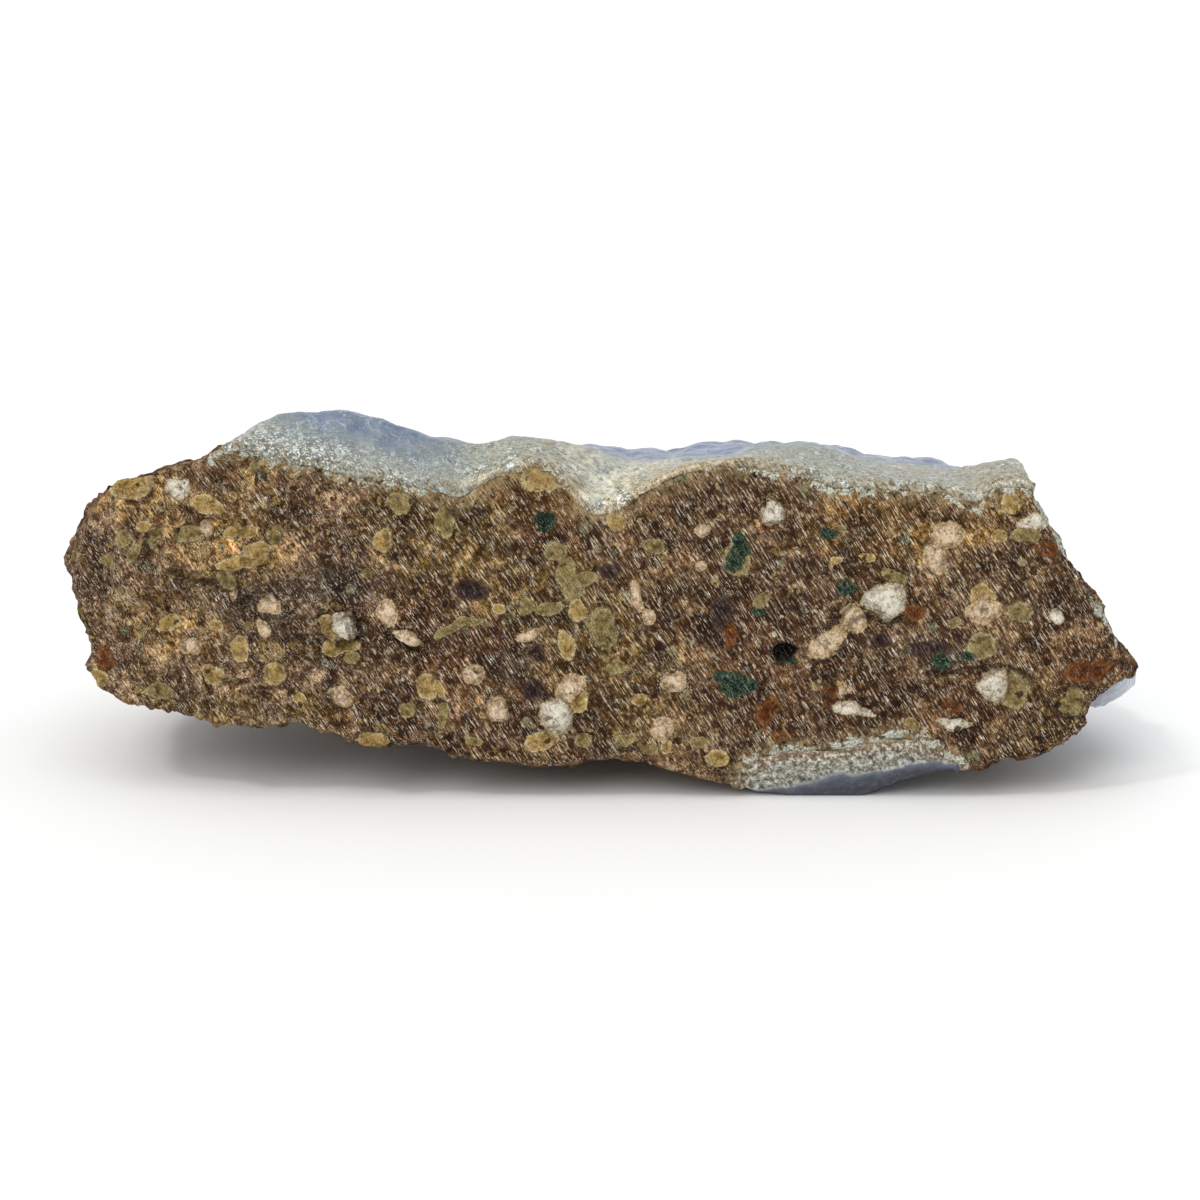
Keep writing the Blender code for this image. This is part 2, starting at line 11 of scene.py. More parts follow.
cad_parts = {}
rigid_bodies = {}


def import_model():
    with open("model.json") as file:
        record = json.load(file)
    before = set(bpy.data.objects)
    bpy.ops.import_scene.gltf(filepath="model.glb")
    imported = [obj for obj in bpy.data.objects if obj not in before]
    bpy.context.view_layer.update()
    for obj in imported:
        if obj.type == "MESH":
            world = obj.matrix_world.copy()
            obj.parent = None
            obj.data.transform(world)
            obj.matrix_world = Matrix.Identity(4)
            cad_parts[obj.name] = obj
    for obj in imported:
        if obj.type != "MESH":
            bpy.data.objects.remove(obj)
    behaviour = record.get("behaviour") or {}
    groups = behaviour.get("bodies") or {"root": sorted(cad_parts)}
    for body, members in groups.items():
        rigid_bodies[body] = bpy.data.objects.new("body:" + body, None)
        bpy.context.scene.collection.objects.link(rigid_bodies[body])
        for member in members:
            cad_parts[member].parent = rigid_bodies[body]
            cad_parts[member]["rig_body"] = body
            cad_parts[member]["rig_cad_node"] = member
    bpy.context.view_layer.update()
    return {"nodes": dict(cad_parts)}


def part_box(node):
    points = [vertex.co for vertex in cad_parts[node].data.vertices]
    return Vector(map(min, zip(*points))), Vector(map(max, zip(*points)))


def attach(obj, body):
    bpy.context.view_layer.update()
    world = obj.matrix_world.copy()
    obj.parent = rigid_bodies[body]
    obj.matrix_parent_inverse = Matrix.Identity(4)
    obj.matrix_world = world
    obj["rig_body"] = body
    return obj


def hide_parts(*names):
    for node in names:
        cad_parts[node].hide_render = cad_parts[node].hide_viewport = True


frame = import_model()

# Studio: a large pale table under one broad soft light from above, with a gentler one from the
# camera's side. The camera looks at the broken rock face from 14 degrees above the table.
MM = 0.001
CAMERA_PLACE = (-0.00075, -0.47637, 0.13931)
CAMERA_TILT = math.radians(90 - 14)
TABLE_SIZE = 8.0

bpy.ops.object.select_all(action="DESELECT")
bpy.ops.object.camera_add(location=CAMERA_PLACE, rotation=(CAMERA_TILT, 0, 0))
camera = bpy.context.object
camera.name = "camera"
camera.data.lens = 100
camera.data.sensor_width = 36
camera.data.clip_start = 0.01
camera.data.clip_end = 50
bpy.context.scene.camera = camera


def soft_sun(name, slant, turn, spread, strength, tint):
    """A broad soft light from far off: slant from overhead, turn round the stone, all in degrees."""
    bpy.ops.object.light_add(type="SUN", location=(0, 0, 1))
    light = bpy.context.object
    light.name = name
    light.rotation_euler = (math.radians(slant), 0, math.radians(turn))
    light.data.angle = math.radians(spread)
    light.data.energy = strength
    light.data.color = tint


soft_sun("overhead_light", 14, -25, 60, 0.80, (1.0, 0.99, 0.97))
soft_sun("front_light", 56, -24, 30, 0.85, (1.0, 0.99, 0.98))
soft_sun("small_light", 38, -52, 8, 0.50, (1.0, 0.98, 0.95))

sky = bpy.data.worlds.new("studio_air")
bpy.context.scene.world = sky
sky.use_nodes = True
sky.node_tree.nodes["Background"].inputs["Color"].default_value = (0.95, 0.97, 1.0, 1)
sky.node_tree.nodes["Background"].inputs["Strength"].default_value = 0.72
bpy.context.scene.view_settings.view_transform = "Standard"


def tone(red, green, blue):
    """A colour as read off a screen, 0 to 255, turned into the linear values that a shader takes."""
    out = []
    for value in (red, green, blue):
        part = value / 255
        out.append(part / 12.92 if part <= 0.04045 else ((part + 0.055) / 1.055) ** 2.4)
    return (*out, 1)


def start_material(name):
    """An empty material, ready for its nodes."""
    material = bpy.data.materials.new(name)
    material.use_nodes = True
    material.node_tree.nodes.clear()
    return material


def put(material, kind, inputs=None, **settings):
    """Adds a node. Each input is a number, a colour, or the output of another node."""
    tree = material.node_tree
    node = tree.nodes.new(kind)
    for key, value in settings.items():
        setattr(node, key, value)
    for key, value in (inputs or {}).items():
        if isinstance(value, bpy.types.NodeSocket):
            tree.links.new(value, node.inputs[key])
        else:
            node.inputs[key].default_value = value
    return node


bpy.ops.object.select_all(action="DESELECT")
bpy.ops.mesh.primitive_plane_add(size=TABLE_SIZE, location=(0, 0, 0))
table = bpy.context.object
table.name = "table"
paint = start_material("pale_table")
skin = put(paint, "ShaderNodeBsdfPrincipled",
           {"Base Color": tone(244, 244, 243), "Roughness": 0.75})
put(paint, "ShaderNodeOutputMaterial", {"Surface": skin.outputs[0]})
table.data.materials.append(paint)


# Host rock: fragments of volcanic rock cemented in a purple-brown ash, broken to a flat face at
# the front and to rough surfaces elsewhere. The agate grew on its hollowed top, and it is left
# as it broke: raised grains, a small open pit and thin cracks show on the front.
ROCK_VOXEL = 0.8 * MM
FRONT_BEGINS = -24.0
EVEN_FACE = (-44.0, -20.0)
RELIEF_LIMIT = 1.2
FORM_GAIN = 1.3

# The rock stays this far below the top of the agate on it, by less in the layer at the front
NEAR_LINING = 2.5
COVER_FRONT = 0.7
COVER_BEHIND = 1.4
FRONT_LAYER = (-32.6, -31.0)
HIGH_ABOVE = 100.0

# Grains of the front face by colour: X, Z, half width, half height in millimetres, and turn
TAN_GRAINS = [
    (-64.9, 44.6, 3.1, 2.2, 20), (-54.4, 42, 2.1, 1.2, -10), (-50.9, 38.1, 1.4, 0.9, 15),
    (-47.4, 35.7, 1.6, 1.1, 10), (-51, 34, 2, 0.8, 10), (-47.3, 34.3, 1.1, 0.5, 0),
    (-45.2, 48, 1.8, 0.6, 10), (-63.5, 38.4, 1, 0.8, 0), (-60.1, 24.7, 1.9, 1.1, 20),
    (-53.6, 25, 1, 0.8, -30), (-50.3, 21.3, 1.2, 1.8, 0), (-54.2, 17.7, 1.6, 1.3, -15),
    (-45.8, 18, 1.4, 1.3, 10), (-42.4, 14.7, 1, 1, 0), (-37.9, 21.7, 1.4, 0.8, 0),
    (-30.4, 37, 1.2, 1.4, 0), (-32.2, 8.7, 2.1, 1.1, 0), (-8.4, 46.2, 2.7, 1.9, 10),
    (1.6, 39.6, 1.2, 1.2, 0), (-14.7, 27.6, 1, 0.8, 0), (-3.8, 27.1, 1.2, 1.5, 20),
    (-5.4, 22.4, 1.2, 1.8, 10), (-24.7, 16.3, 1.6, 1.7, 0), (-3.7, 14, 1, 1.5, -20),
    (-8.6, 8.8, 2.4, 1.2, 20), (8.5, 8, 0.7, 1, 0), (15.5, 6.2, 1.6, 1.1, 0), (55, 42.4, 1.1, 1.5, 30),
    (35.8, 34.9, 1.1, 0.6, -20), (51.7, 29.4, 1.9, 1.4, 0), (32.1, 16.6, 1, 0.8, 0),
    (31.5, 34.5, 0.8, 0.6, 0), (-38.1, 24.9, 1.4, 1.8, 0), (-35.4, 22, 1.5, 0.7, 0),
    (-49, 38, 1.4, 0.7, 20), (-50.2, 34, 2.3, 0.7, 8), (-70.8, 16, 1, 1.4, 0),
    (53.8, 37.8, 1.2, 0.8, 0), (4.8, 14.6, 1, 0.8, 0), (-22.8, 16, 0.7, 1.1, 0),
]
WHITE_GRAINS = [
    (-58.4, 43.9, 1.6, 1.3, 0), (-6.8, 12.3, 2.3, 2.3, 0), (22.9, 41.2, 1.6, 2, 0),
    (38.6, 28.7, 2.5, 2.3, -20), (36.5, 29.1, 1.4, 1.4, 0), (58.5, 39.8, 2.5, 1, 0),
    (61.9, 26.4, 1, 1, 30), (53.6, 16.7, 2, 2.3, 20), (33.2, 13.4, 2, 0.8, -10),
    (36, 12.7, 1.4, 0.6, -10), (48.3, 11.1, 2.5, 0.8, -5), (-35.9, 25.3, 1.8, 1.6, -20),
]
OLIVE_GRAINS = [
    (-57.2, 37.7, 1.8, 1.1, 20), (-45.3, 37.7, 1, 1, 0), (-51.9, 31.5, 1.2, 1.5, 30),
    (-47.7, 47.1, 1.1, 0.6, 45), (-69.1, 32.6, 1, 1, 0), (-64.7, 22.9, 0.6, 1, 0),
    (-27.1, 13.2, 1, 0.8, 0), (-28.2, 42.4, 1.6, 1.5, 0), (-62, 14.7, 1.9, 0.9, 0),
    (-22, 39.4, 1.2, 1.8, 10), (-6.9, 35.6, 1.4, 1.2, 0), (-5.5, 32.6, 1.3, 1.7, -20),
    (-4.6, 29.8, 1, 1.3, -10), (-3.1, 31.8, 1.4, 0.9, 0), (6.8, 36.3, 1.3, 1.1, 0),
    (-8, 27.6, 1.8, 0.9, 15), (-11, 27.7, 0.9, 1, 0), (-0.3, 24.7, 1.9, 2.8, 12),
    (-21.3, 24.7, 2.3, 0.6, 25), (-18.6, 25.6, 1.8, 0.6, 0), (-22.3, 12.3, 0.7, 1.8, -15),
    (-3.1, 8.7, 1.3, 0.8, 0), (-18.3, 8.4, 1.2, 0.6, 0), (2.8, 8.8, 1.6, 0.9, 20),
    (6.2, 7.4, 1.1, 0.8, 0), (18, 34.5, 1.6, 2.4, 10), (21.2, 28.8, 1.2, 0.9, 20),
    (31.7, 38.2, 1, 0.9, 0), (57.5, 38.2, 2, 1.1, 0), (48.1, 25.7, 0.8, 0.7, 0),
    (56.7, 27.1, 1.8, 1.3, -20), (51.9, 22.2, 1.9, 1.7, 0), (56.4, 15.7, 1.9, 2.5, 0),
    (42.4, 11.3, 1, 0.9, 0), (64.6, 13.7, 1.5, 1.8, -20), (-53.3, 49.1, 1.4, 0.6, 20),
    (-66.5, 36.6, 1.1, 1.3, -30), (-65, 34.5, 0.8, 1.5, -30), (-62.1, 37.3, 0.8, 1.8, -30),
    (-11.6, 47, 1.6, 1, 0), (39.3, 32.3, 1.8, 1, -30), (13.1, 8.6, 1.4, 0.8, 0),
    (1.7, 19.2, 1.4, 1.1, 0), (-35.2, 20.3, 1.2, 0.8, 0),
]
CREAM_GRAINS = [
    (-54.9, 38.4, 1, 1, 0), (-41.8, 48.5, 2.3, 0.6, 5), (-47, 24.4, 1.2, 0.9, -20),
    (-36.5, 14.9, 1.5, 1.3, -20), (-46.1, 27.8, 1.4, 1.1, 10), (-30, 26.6, 1.2, 1.7, 15),
    (13.2, 38.5, 1, 1, 0), (4.2, 29.2, 0.8, 2.1, 12), (6, 26.4, 0.9, 1.1, 0),
    (-18.1, 18, 1.5, 1.3, -20), (-14.8, 13.2, 1.5, 1.8, 15), (-4.9, 16.2, 2.6, 1.4, 50),
    (9.5, 17, 1.8, 1.4, -15), (8, 10.6, 1.4, 1.7, 0), (30.3, 22.7, 3.1, 1.5, 42),
    (34, 26.4, 1.4, 2.1, 20), (46.6, 38.1, 2, 1.7, -10), (45.1, 35, 1.6, 2.5, 20),
    (51.8, 27.3, 2, 1.7, 0), (-10.8, 23.6, 1.8, 0.8, 10), (-27.5, 23.3, 2.6, 0.7, -20),
    (-57.4, 21.6, 1.5, 1.3, 0), (12.9, 33.6, 0.8, 0.7, 0), (32.8, 16, 1.1, 0.7, 0),
]
RUST_SPOTS = [
    (-69.9, 18.7, 1.2, 1.5, 0), (17.1, 23.7, 1, 1.4, 0), (21.8, 12.6, 1, 1.4, 0),
    (22.4, 39.2, 1.1, 0.6, 0), (42.3, 27.1, 1.3, 1.1, 0), (60.3, 35.9, 1.5, 1.2, 0),
    (48.1, 13.7, 1.4, 0.8, -20), (66.6, 18.3, 3.7, 1.5, 5), (31.1, 16, 1, 1, 30),
    (30.7, 14.2, 1, 0.6, 0), (22.9, 13.4, 1, 1.5, 0), (24.2, 9.6, 1.1, 0.7, 20),
]
GREEN_SPOTS = [
    (-8.2, 40.1, 1.4, 0.9, 0), (-8, 38.9, 1, 0.9, 0), (10.1, 46, 1, 0.7, 20), (18.5, 36.4, 1, 1.4, 20),
    (17.6, 34.5, 1.2, 1.5, -10), (16.3, 17.7, 1.5, 0.9, -25), (18.1, 16.6, 1.9, 1.4, 0),
    (19.9, 16.9, 1.2, 0.7, 10), (21.6, 27.1, 1.1, 0.6, -20), (25.1, 20.2, 1.4, 0.5, -15),
    (32.8, 30.7, 1.2, 1.1, 0), (30.3, 38, 1.2, 0.8, -10), (46.5, 20.2, 1.3, 0.9, -20),
    (49.9, 21, 0.9, 0.6, 0),
]
DARK_SPOTS = [
    (-9.9, 15.7, 1.3, 1.3, 0), (-9.3, 21, 1.1, 1.1, 0), (15.8, 26.8, 1.2, 2.4, -10),
    (44.3, 22, 3, 1, 0), (37.7, 23.2, 1.4, 1, 0), (-18.5, 30.2, 2, 1.4, 0), (0.6, 33, 1.4, 1.1, 0),
]

# Grains that stand out of the face, and how far: X, Z, half width, half height, turn, height
RAISED_GRAINS = [
    (-36.7, 24.9, 2.8, 2.0, 0, 1.2), (-27.4, 23.4, 2.6, 0.8, -20, 0.6), (-6.8, 12.3, 2.3, 2.3, 0, 0.3),
    (22.9, 41.2, 1.6, 2, 0, 0.35), (38.6, 28.7, 2.5, 2.3, -20, 0.3), (-0.3, 24.7, 1.9, 2.8, 12, 0.25),
    (-14.8, 13.2, 1.5, 1.8, 15, 0.3), (9.5, 17, 1.8, 1.4, -15, 0.25), (53.6, 16.7, 2, 2.3, 20, 0.2),
    (-32.2, 8.7, 2.1, 1.1, 0, 0.4), (-54.2, 17.7, 1.6, 1.3, -15, 0.3), (-45.8, 18, 1.4, 1.3, 10, 0.3),
    (-36.5, 14.9, 1.5, 1.3, -20, 0.3), (-47.3, 35.2, 1.9, 1.3, 10, 0.35), (-50.9, 38.1, 1.6, 1.0, 15, 0.3),
    (-47.3, 33.6, 2.2, 0.8, 5, 0.3), (-50.5, 31.5, 1.2, 1.5, 30, 0.3), (8, 10.6, 1.4, 1.7, 0, 0.2),
]

# Patches where the ash is olive, tan, or smooth and grey: X, Z, half width, half height, turn
OLIVE_PATCHES = [
    (-20, 36, 9, 7, 0), (-9, 31, 8, 6, 20), (-1, 22, 10, 9, -20), (3, 12, 8, 5, 0),
    (-28, 40, 6, 4, 0), (-55, 12, 9, 3, 0), (60, 12, 6, 6, 0), (-52, 33, 6, 7, 0), (-36, 12, 8, 3, 0),
]
TAN_PATCHES = [
    (-65, 43, 7, 5, 0), (35, 42.5, 5, 3, 0), (44, 42, 7, 2.5, 0), (53, 41.5, 4, 3, 20),
    (37, 37, 3.5, 4.5, 20), (43, 38.5, 3, 4, -30), (31, 38, 4, 2, 30), (-46, 47, 6, 2, 10),
    (-52, 37, 10, 6, -15), (-8, 45, 6, 4.5, 0), (-59, 24, 9, 4.5, 10), (50, 38, 4, 2, 0),
]
SMOOTH_PATCHES = [(-38, 30.5, 8, 3.5, 0), (-48, 28, 9, 3.5, 0), (45, 22, 6, 2, 0), (-13, 19, 4, 3, 0)]
WARM_PATCHES = [
    (-17, 20, 6, 4, 20), (-30, 28, 8, 4, -10), (19, 24, 6, 7, 0), (24, 14, 6, 5, 0), (34, 14, 7, 5, 0),
    (52, 14, 8, 4, 10), (68, 19, 6, 4, 0), (-8, 38, 5, 3, 0), (-33, 12, 6, 3, 0),
]

# Humps and hollows of the face: X, Z, half width, half height, turn, height
FACE_RELIEF = [
    (-62.2, 36.1, 1.4, 4.9, -15, -0.8), (-56.8, 31.6, 4.1, 1.0, -8, -0.5), (-51.6, 35.0, 4.1, 2.8, 15, 0.7),
    (-54.5, 41.7, 4.1, 2.0, -12, 0.5), (-64.9, 44.5, 3.4, 2.4, 20, 0.7), (-35.7, 30.0, 7.8, 2.8, -5, -0.7),
    (-70.3, 30.9, 2.3, 4.2, 0, -0.4), (-49.4, 28.4, 0.8, 1.3, 0, -0.6), (-59.8, 24.6, 4.8, 1.8, 20, 0.5),
    (-42.1, 19.6, 4.1, 1.4, 0, -0.4), (-39.0, 22.0, 4.1, 1.0, 0, -0.5), (-41.9, 27.1, 5.5, 1.4, 0, 0.3),
    (-41.5, 42.8, 6.1, 1.4, -15, -0.35), (-59.3, 40.1, 1.8, 1.5, 0, -0.5), (-65.5, 18.6, 4.1, 2.8, 0, 0.3),
    (4.7, 42.8, 4.1, 1.4, 20, -0.2), (-9.6, 18.6, 2.3, 3.1, 0, -0.3), (-11.7, 23.2, 4.1, 1.4, 0, 0.2),
    (24.5, 21.5, 1.6, 1.0, 0, -0.8),
]
# A small open pit, its inside painted dark as shade
SHADED_PITS = [(24.5, 21.5, 1.5, 1.0, 10)]

# Thin cracks and the undercut edges of grains, as X and Z. The first bounds a shallow spall.
CRACKS = [
    [(46.5, 18.5), (49.5, 18.9), (52.3, 19.2), (56.0, 19.0), (58.5, 17.7), (60.2, 15.7), (61.4, 13.4),
     (63.1, 12.3), (65.8, 11.3)],
    [(61.6, 15.2), (64.1, 15.6), (67.5, 15.6)],
    [(-45.8, 23.0), (-43.4, 23.2), (-41.1, 23.3), (-39.1, 23.2), (-36.8, 22.4), (-34.6, 22.9)],
    [(-30.0, 24.2), (-28.9, 22.9), (-26.9, 21.9), (-25.4, 21.3)],
    [(-60.1, 32.2), (-58.2, 31.4), (-55.5, 31.1), (-53.0, 30.5)],
    [(-49.7, 27.8), (-48.8, 28.8)],
    [(30.3, 24.9), (31.4, 26.0), (32.4, 26.3), (33.8, 28.0)],
    [(33.8, 26.0), (35.7, 26.4), (38.8, 25.6), (40.7, 26.1)],
    [(30.1, 18.0), (31.5, 17.5), (31.3, 16.0), (30.4, 14.9), (31.4, 14.2)],
    [(-59.2, 36.1), (-58.3, 38.7), (-55.8, 39.4)],
    [(-52.9, 17.2), (-50.9, 16.9), (-49.0, 17.0)],
]


def pick(obj):
    """Selects obj alone and makes it the active object."""
    bpy.ops.object.select_all(action="DESELECT")
    obj.select_set(True)
    bpy.context.view_layer.objects.active = obj


def copy_of_node(node, name):
    """A merged copy of a CAD node's mesh, which scene.py may then work on."""
    piece = frame["nodes"][node].copy()
    piece.data = frame["nodes"][node].data.copy()
    piece.name = name
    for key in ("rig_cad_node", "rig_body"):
        if key in piece:
            del piece[key]
    piece.parent = None
    bpy.context.scene.collection.objects.link(piece)
    piece.data.materials.clear()
    pick(piece)
    bpy.ops.object.mode_set(mode="EDIT")
    bpy.ops.mesh.select_all(action="SELECT")
    bpy.ops.mesh.remove_doubles(threshold=0.02 * MM)
    bpy.ops.object.mode_set(mode="OBJECT")
    return piece


def finish_with(piece, kind, **settings):
    """Adds a modifier and applies it."""
    pick(piece)
    modifier = piece.modifiers.new(kind.lower(), kind)
    for key, value in settings.items():
        setattr(modifier, key, value)
    bpy.ops.object.modifier_apply(modifier=modifier.name)


def places(piece):
    """Where the piece's points are, in millimetres."""
    out = np.zeros(len(piece.data.vertices) * 3)
    piece.data.vertices.foreach_get("co", out)
    return out.reshape(-1, 3) / MM


def facings(piece):
    """Which way the piece's surface faces at each point."""
    out = np.zeros(len(piece.data.vertices) * 3)
    piece.data.vertices.foreach_get("normal", out)
    return out.reshape(-1, 3)


def ramp(values, start, end):
    """0 below start, 1 above end, and smooth between."""
    part = np.clip((values - start) / (end - start), 0, 1)
    return part * part * (3 - 2 * part)


def push(piece, weights, height, pattern=None, middle=0.0):
    """Moves the surface out by height times weights, with a texture's pattern if one is given."""
    group = piece.vertex_groups.new(name="push")
    for level in range(1, 21):
        chosen = np.nonzero(np.round(weights * 20) == level)[0]
        if len(chosen):
            group.add(chosen.tolist(), level / 20, "REPLACE")
    finish_with(piece, "DISPLACE", vertex_group=group.name, strength=height * MM, texture=pattern,
                texture_coords="LOCAL", mid_level=middle)
    piece.vertex_groups.clear()


def pattern_of(kind, name, size, **settings):
    """A procedural texture for push, size in millimetres."""
    texture = bpy.data.textures.new(name, kind)
    texture.noise_scale = size * MM
    for key, value in settings.items():
        setattr(texture, key, value)
    return texture


def keep_inside(piece, node):
    """Holds the piece within the box of its CAD node."""
    low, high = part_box(node)
    spots = np.clip(places(piece) * MM, np.array(low), np.array(high))
    piece.data.vertices.foreach_set("co", spots.ravel())
    piece.data.update()


def note(piece, name, values):
    """Stores one number per point for the material."""
    attribute = piece.data.attributes.new(name, "FLOAT", "POINT")
    attribute.data.foreach_set("value", np.asarray(values, dtype=np.float32))


def wander(spots, size, reach, seed):
    """Each point moved by a smooth noise of that size and reach, in millimetres, which the seed
    keeps the same from run to run."""
    noise.seed_set(seed)
    moved = [noise.noise_vector(Vector(spot) / size) for spot in spots]
    return spots + reach * np.array([tuple(move) for move in moved])


def grain_field(spots, grains, corners=0.5):
    """1 in the middle of a grain, 0 on its edge, down to -1 away from all of them. A grain is
    between an ellipse and a polygon with a few uneven sides."""
    field = np.full(len(spots), -1.0)
    draw = np.random.default_rng(len(grains))
    for grain in grains:
        x, z, half_width, half_height, turn = grain[:5]
        angle = math.radians(turn)
        along = (spots[:, 0] - x) * math.cos(angle) + (spots[:, 2] - z) * math.sin(angle)
        across = (spots[:, 2] - z) * math.cos(angle) - (spots[:, 0] - x) * math.sin(angle)
        along, across = along / half_width, across / half_height
        sides = draw.integers(5, 9)
        start = draw.uniform(0, 2 * math.pi)
        cut = np.zeros(len(spots))
        for side in range(sides):
            way = start + (side + draw.uniform(-0.25, 0.25)) * 2 * math.pi / sides
            reach = (along * math.cos(way) + across * math.sin(way)) / draw.uniform(0.8, 1.1)
            cut = np.maximum(cut, reach)
        away = np.hypot(along, across) * (1 - corners) + cut * corners
        field = np.maximum(field, 1 - away)
    return field


def line_field(spots, lines):
    """Distance in millimetres, on the face, to the nearest of the drawn lines of X and Z."""
    nearest = np.full(len(spots), 99.0)
    for line in lines:
        for (x0, z0), (x1, z1) in zip(line, line[1:]):
            run = np.array([x1 - x0, z1 - z0])
            off = spots[:, [0, 2]] - np.array([x0, z0])
            part = np.clip(off @ run / (run @ run), 0, 1)
            nearest = np.minimum(nearest, np.linalg.norm(off - part[:, None] * run, axis=1))
    return nearest


rock = copy_of_node("host_rock", "host_rock_broken")
finish_with(rock, "REMESH", mode="VOXEL", voxel_size=ROCK_VOXEL, adaptivity=0)
for polygon in rock.data.polygons:
    middle = polygon.center / MM
    polygon.select = polygon.normal.y < -0.5 and middle.y < FRONT_BEGINS
bpy.ops.object.mode_set(mode="EDIT")
bpy.ops.mesh.select_mode(type="FACE")
bpy.ops.mesh.subdivide(number_cuts=1)
bpy.ops.object.mode_set(mode="OBJECT")
finish_with(rock, "SMOOTH", factor=0.5, iterations=3)


def surface_of(piece):
    """The piece's surface, to measure distances from."""
    mesh = piece.data
    return BVHTree.FromPolygons([v.co for v in mesh.vertices], [p.vertices for p in mesh.polygons])


def distance_to(tree, spots):
    """How far each point is from a surface, in millimetres."""
    return np.array([tree.find_nearest(Vector(spot) * MM)[3] / MM for spot in spots])


spots = places(rock)
facing = facings(rock)
drift = wander(spots, 2.2, 0.55, 3)
roof = surface_of(frame["nodes"]["agate_lining"])
to_lining = distance_to(roof, spots)
to_seam = distance_to(surface_of(frame["nodes"]["lower_agate_seam"]), spots)
to_agate = np.minimum(to_lining, to_seam)
front = ramp(-facing[:, 1], 0.3, 0.7) * ramp(-spots[:, 1], 16, 22)
flat = front * ramp(spots[:, 0], *EVEN_FACE)
free = ramp(spots[:, 2], 0.4, 2.5) * ramp(to_agate, 0.6, 2.5)
rough = free * (1 - 0.4 * front) * (1 - 0.85 * flat)

# Breakage of five sizes, and angular bits on the front
push(rock, rough, 1.9, pattern_of("CLOUDS", "rock_lumps", 7.0, noise_depth=2), 0.55)
push(rock, rough, 1.5, pattern_of("VORONOI", "rock_chips", 4.2, distance_metric="DISTANCE"), 0.6)
push(rock, rough, 1.0, pattern_of("VORONOI", "rock_flakes", 2.1, distance_metric="CHEBYCHEV"), 0.5)
push(rock, rough, 0.7, pattern_of("CLOUDS", "rock_grit", 1.7, noise_depth=2, noise_type="HARD_NOISE"),
     0.5)
push(rock, free * (0.5 + 0.5 * rough), 0.5, pattern_of("CLOUDS", "rock_grain", 0.8, noise_depth=2), 0.5)
push(rock, free * front, 0.45, pattern_of("VORONOI", "rock_bits", 2.6, distance_metric="CHEBYCHEV"), 0.45)

# The rock meets the agate with no gap
push(rock, (1 - ramp(to_lining, 0.8, 1.6)) * ramp(facing[:, 2], 0.0, 0.5), 0.25)
push(rock, (1 - ramp(to_seam, 0.8, 1.4)) * ramp(facing[:, 1], -0.9, -0.5), 0.45)

# Humps, hollows and raised grains, each with a ditch round it, then the spall and the cracks
lift = np.zeros(len(spots))
for form in FACE_RELIEF:
    lift += ramp(grain_field(drift, [form], 0.3), -0.25, 0.45) * form[5] * FORM_GAIN
push(rock, np.clip(lift, 0, RELIEF_LIMIT) / RELIEF_LIMIT * front, RELIEF_LIMIT)
push(rock, np.clip(-lift, 0, RELIEF_LIMIT) / RELIEF_LIMIT * front, -RELIEF_LIMIT)
raised = np.zeros(len(spots))
moat = np.zeros(len(spots))
for grain in RAISED_GRAINS:
    field = grain_field(drift, [grain])
    raised = np.maximum(raised, ramp(field, -0.05, 0.4) * grain[5])
    moat = np.maximum(moat, ramp(field, -0.5, -0.15) * (1 - ramp(field, -0.12, 0.02)) * grain[5])
push(rock, raised * front, 1.0)
push(rock, moat * front, -1.1)
arc_x, arc_z = zip(*CRACKS[0])
below_arc = ramp(np.interp(spots[:, 0], arc_x, arc_z) - spots[:, 2], 0.0, 0.4)
push(rock, below_arc * ramp(spots[:, 0], 46.5, 48.5) * front, -0.45)
crack = line_field(drift, CRACKS)
push(rock, (1 - ramp(crack, 0.1, 0.6)) * front, -0.5)

# No grain of rock comes through the agate where that is thin
moved = places(rock)
cover = COVER_FRONT + (COVER_BEHIND - COVER_FRONT) * ramp(spots[:, 1], *FRONT_LAYER)
for index in np.nonzero(to_lining < NEAR_LINING)[0]:
    above = Vector((moved[index, 0], moved[index, 1], HIGH_ABOVE)) * MM
    top = roof.ray_cast(above, Vector((0, 0, -1)))[0]
    if top is not None:
        moved[index, 2] = min(moved[index, 2], top.z / MM - cover[index])
rock.data.vertices.foreach_set("co", (moved * MM).ravel())
rock.data.update()
keep_inside(rock, "host_rock")

# What the material has to know of each point
off_front = np.where((facing[:, 1] < -0.25) & (spots[:, 1] < -14), 0.0, -2.0)
for name, grains, corners in (("tan_grains", TAN_GRAINS, 0.35), ("white_grains", WHITE_GRAINS, 0.7),
                              ("olive_grains", OLIVE_GRAINS, 0.4), ("cream_grains", CREAM_GRAINS, 0.6),
                              ("rust_spots", RUST_SPOTS, 0.3), ("green_spots", GREEN_SPOTS, 0.7),
                              ("dark_spots", DARK_SPOTS, 0.2), ("pit_shade", SHADED_PITS, 0.5)):
    note(rock, name, np.maximum(grain_field(drift, grains, corners) + off_front, -1))
for name, patches in (("olive_patches", OLIVE_PATCHES), ("tan_patches", TAN_PATCHES),
                      ("smooth_patches", SMOOTH_PATCHES), ("warm_patches", WARM_PATCHES)):
    note(rock, name, ramp(grain_field(drift, patches) + off_front, -0.5, 0.6))
note(rock, "near_agate", 1 - ramp(to_agate, 0.3, 3.5))
note(rock, "flat_front", flat)
note(rock, "on_front", front)
side_edge = ramp(facing[:, 0], 0.3, 0.7) * ramp(spots[:, 0], 46, 52) * (1 - ramp(spots[:, 1], -30, -27))
note(rock, "pale_edge", side_edge * ramp(spots[:, 2], 15, 19))
note(rock, "crack", (1 - ramp(crack, 0.05, 0.55)) * front)

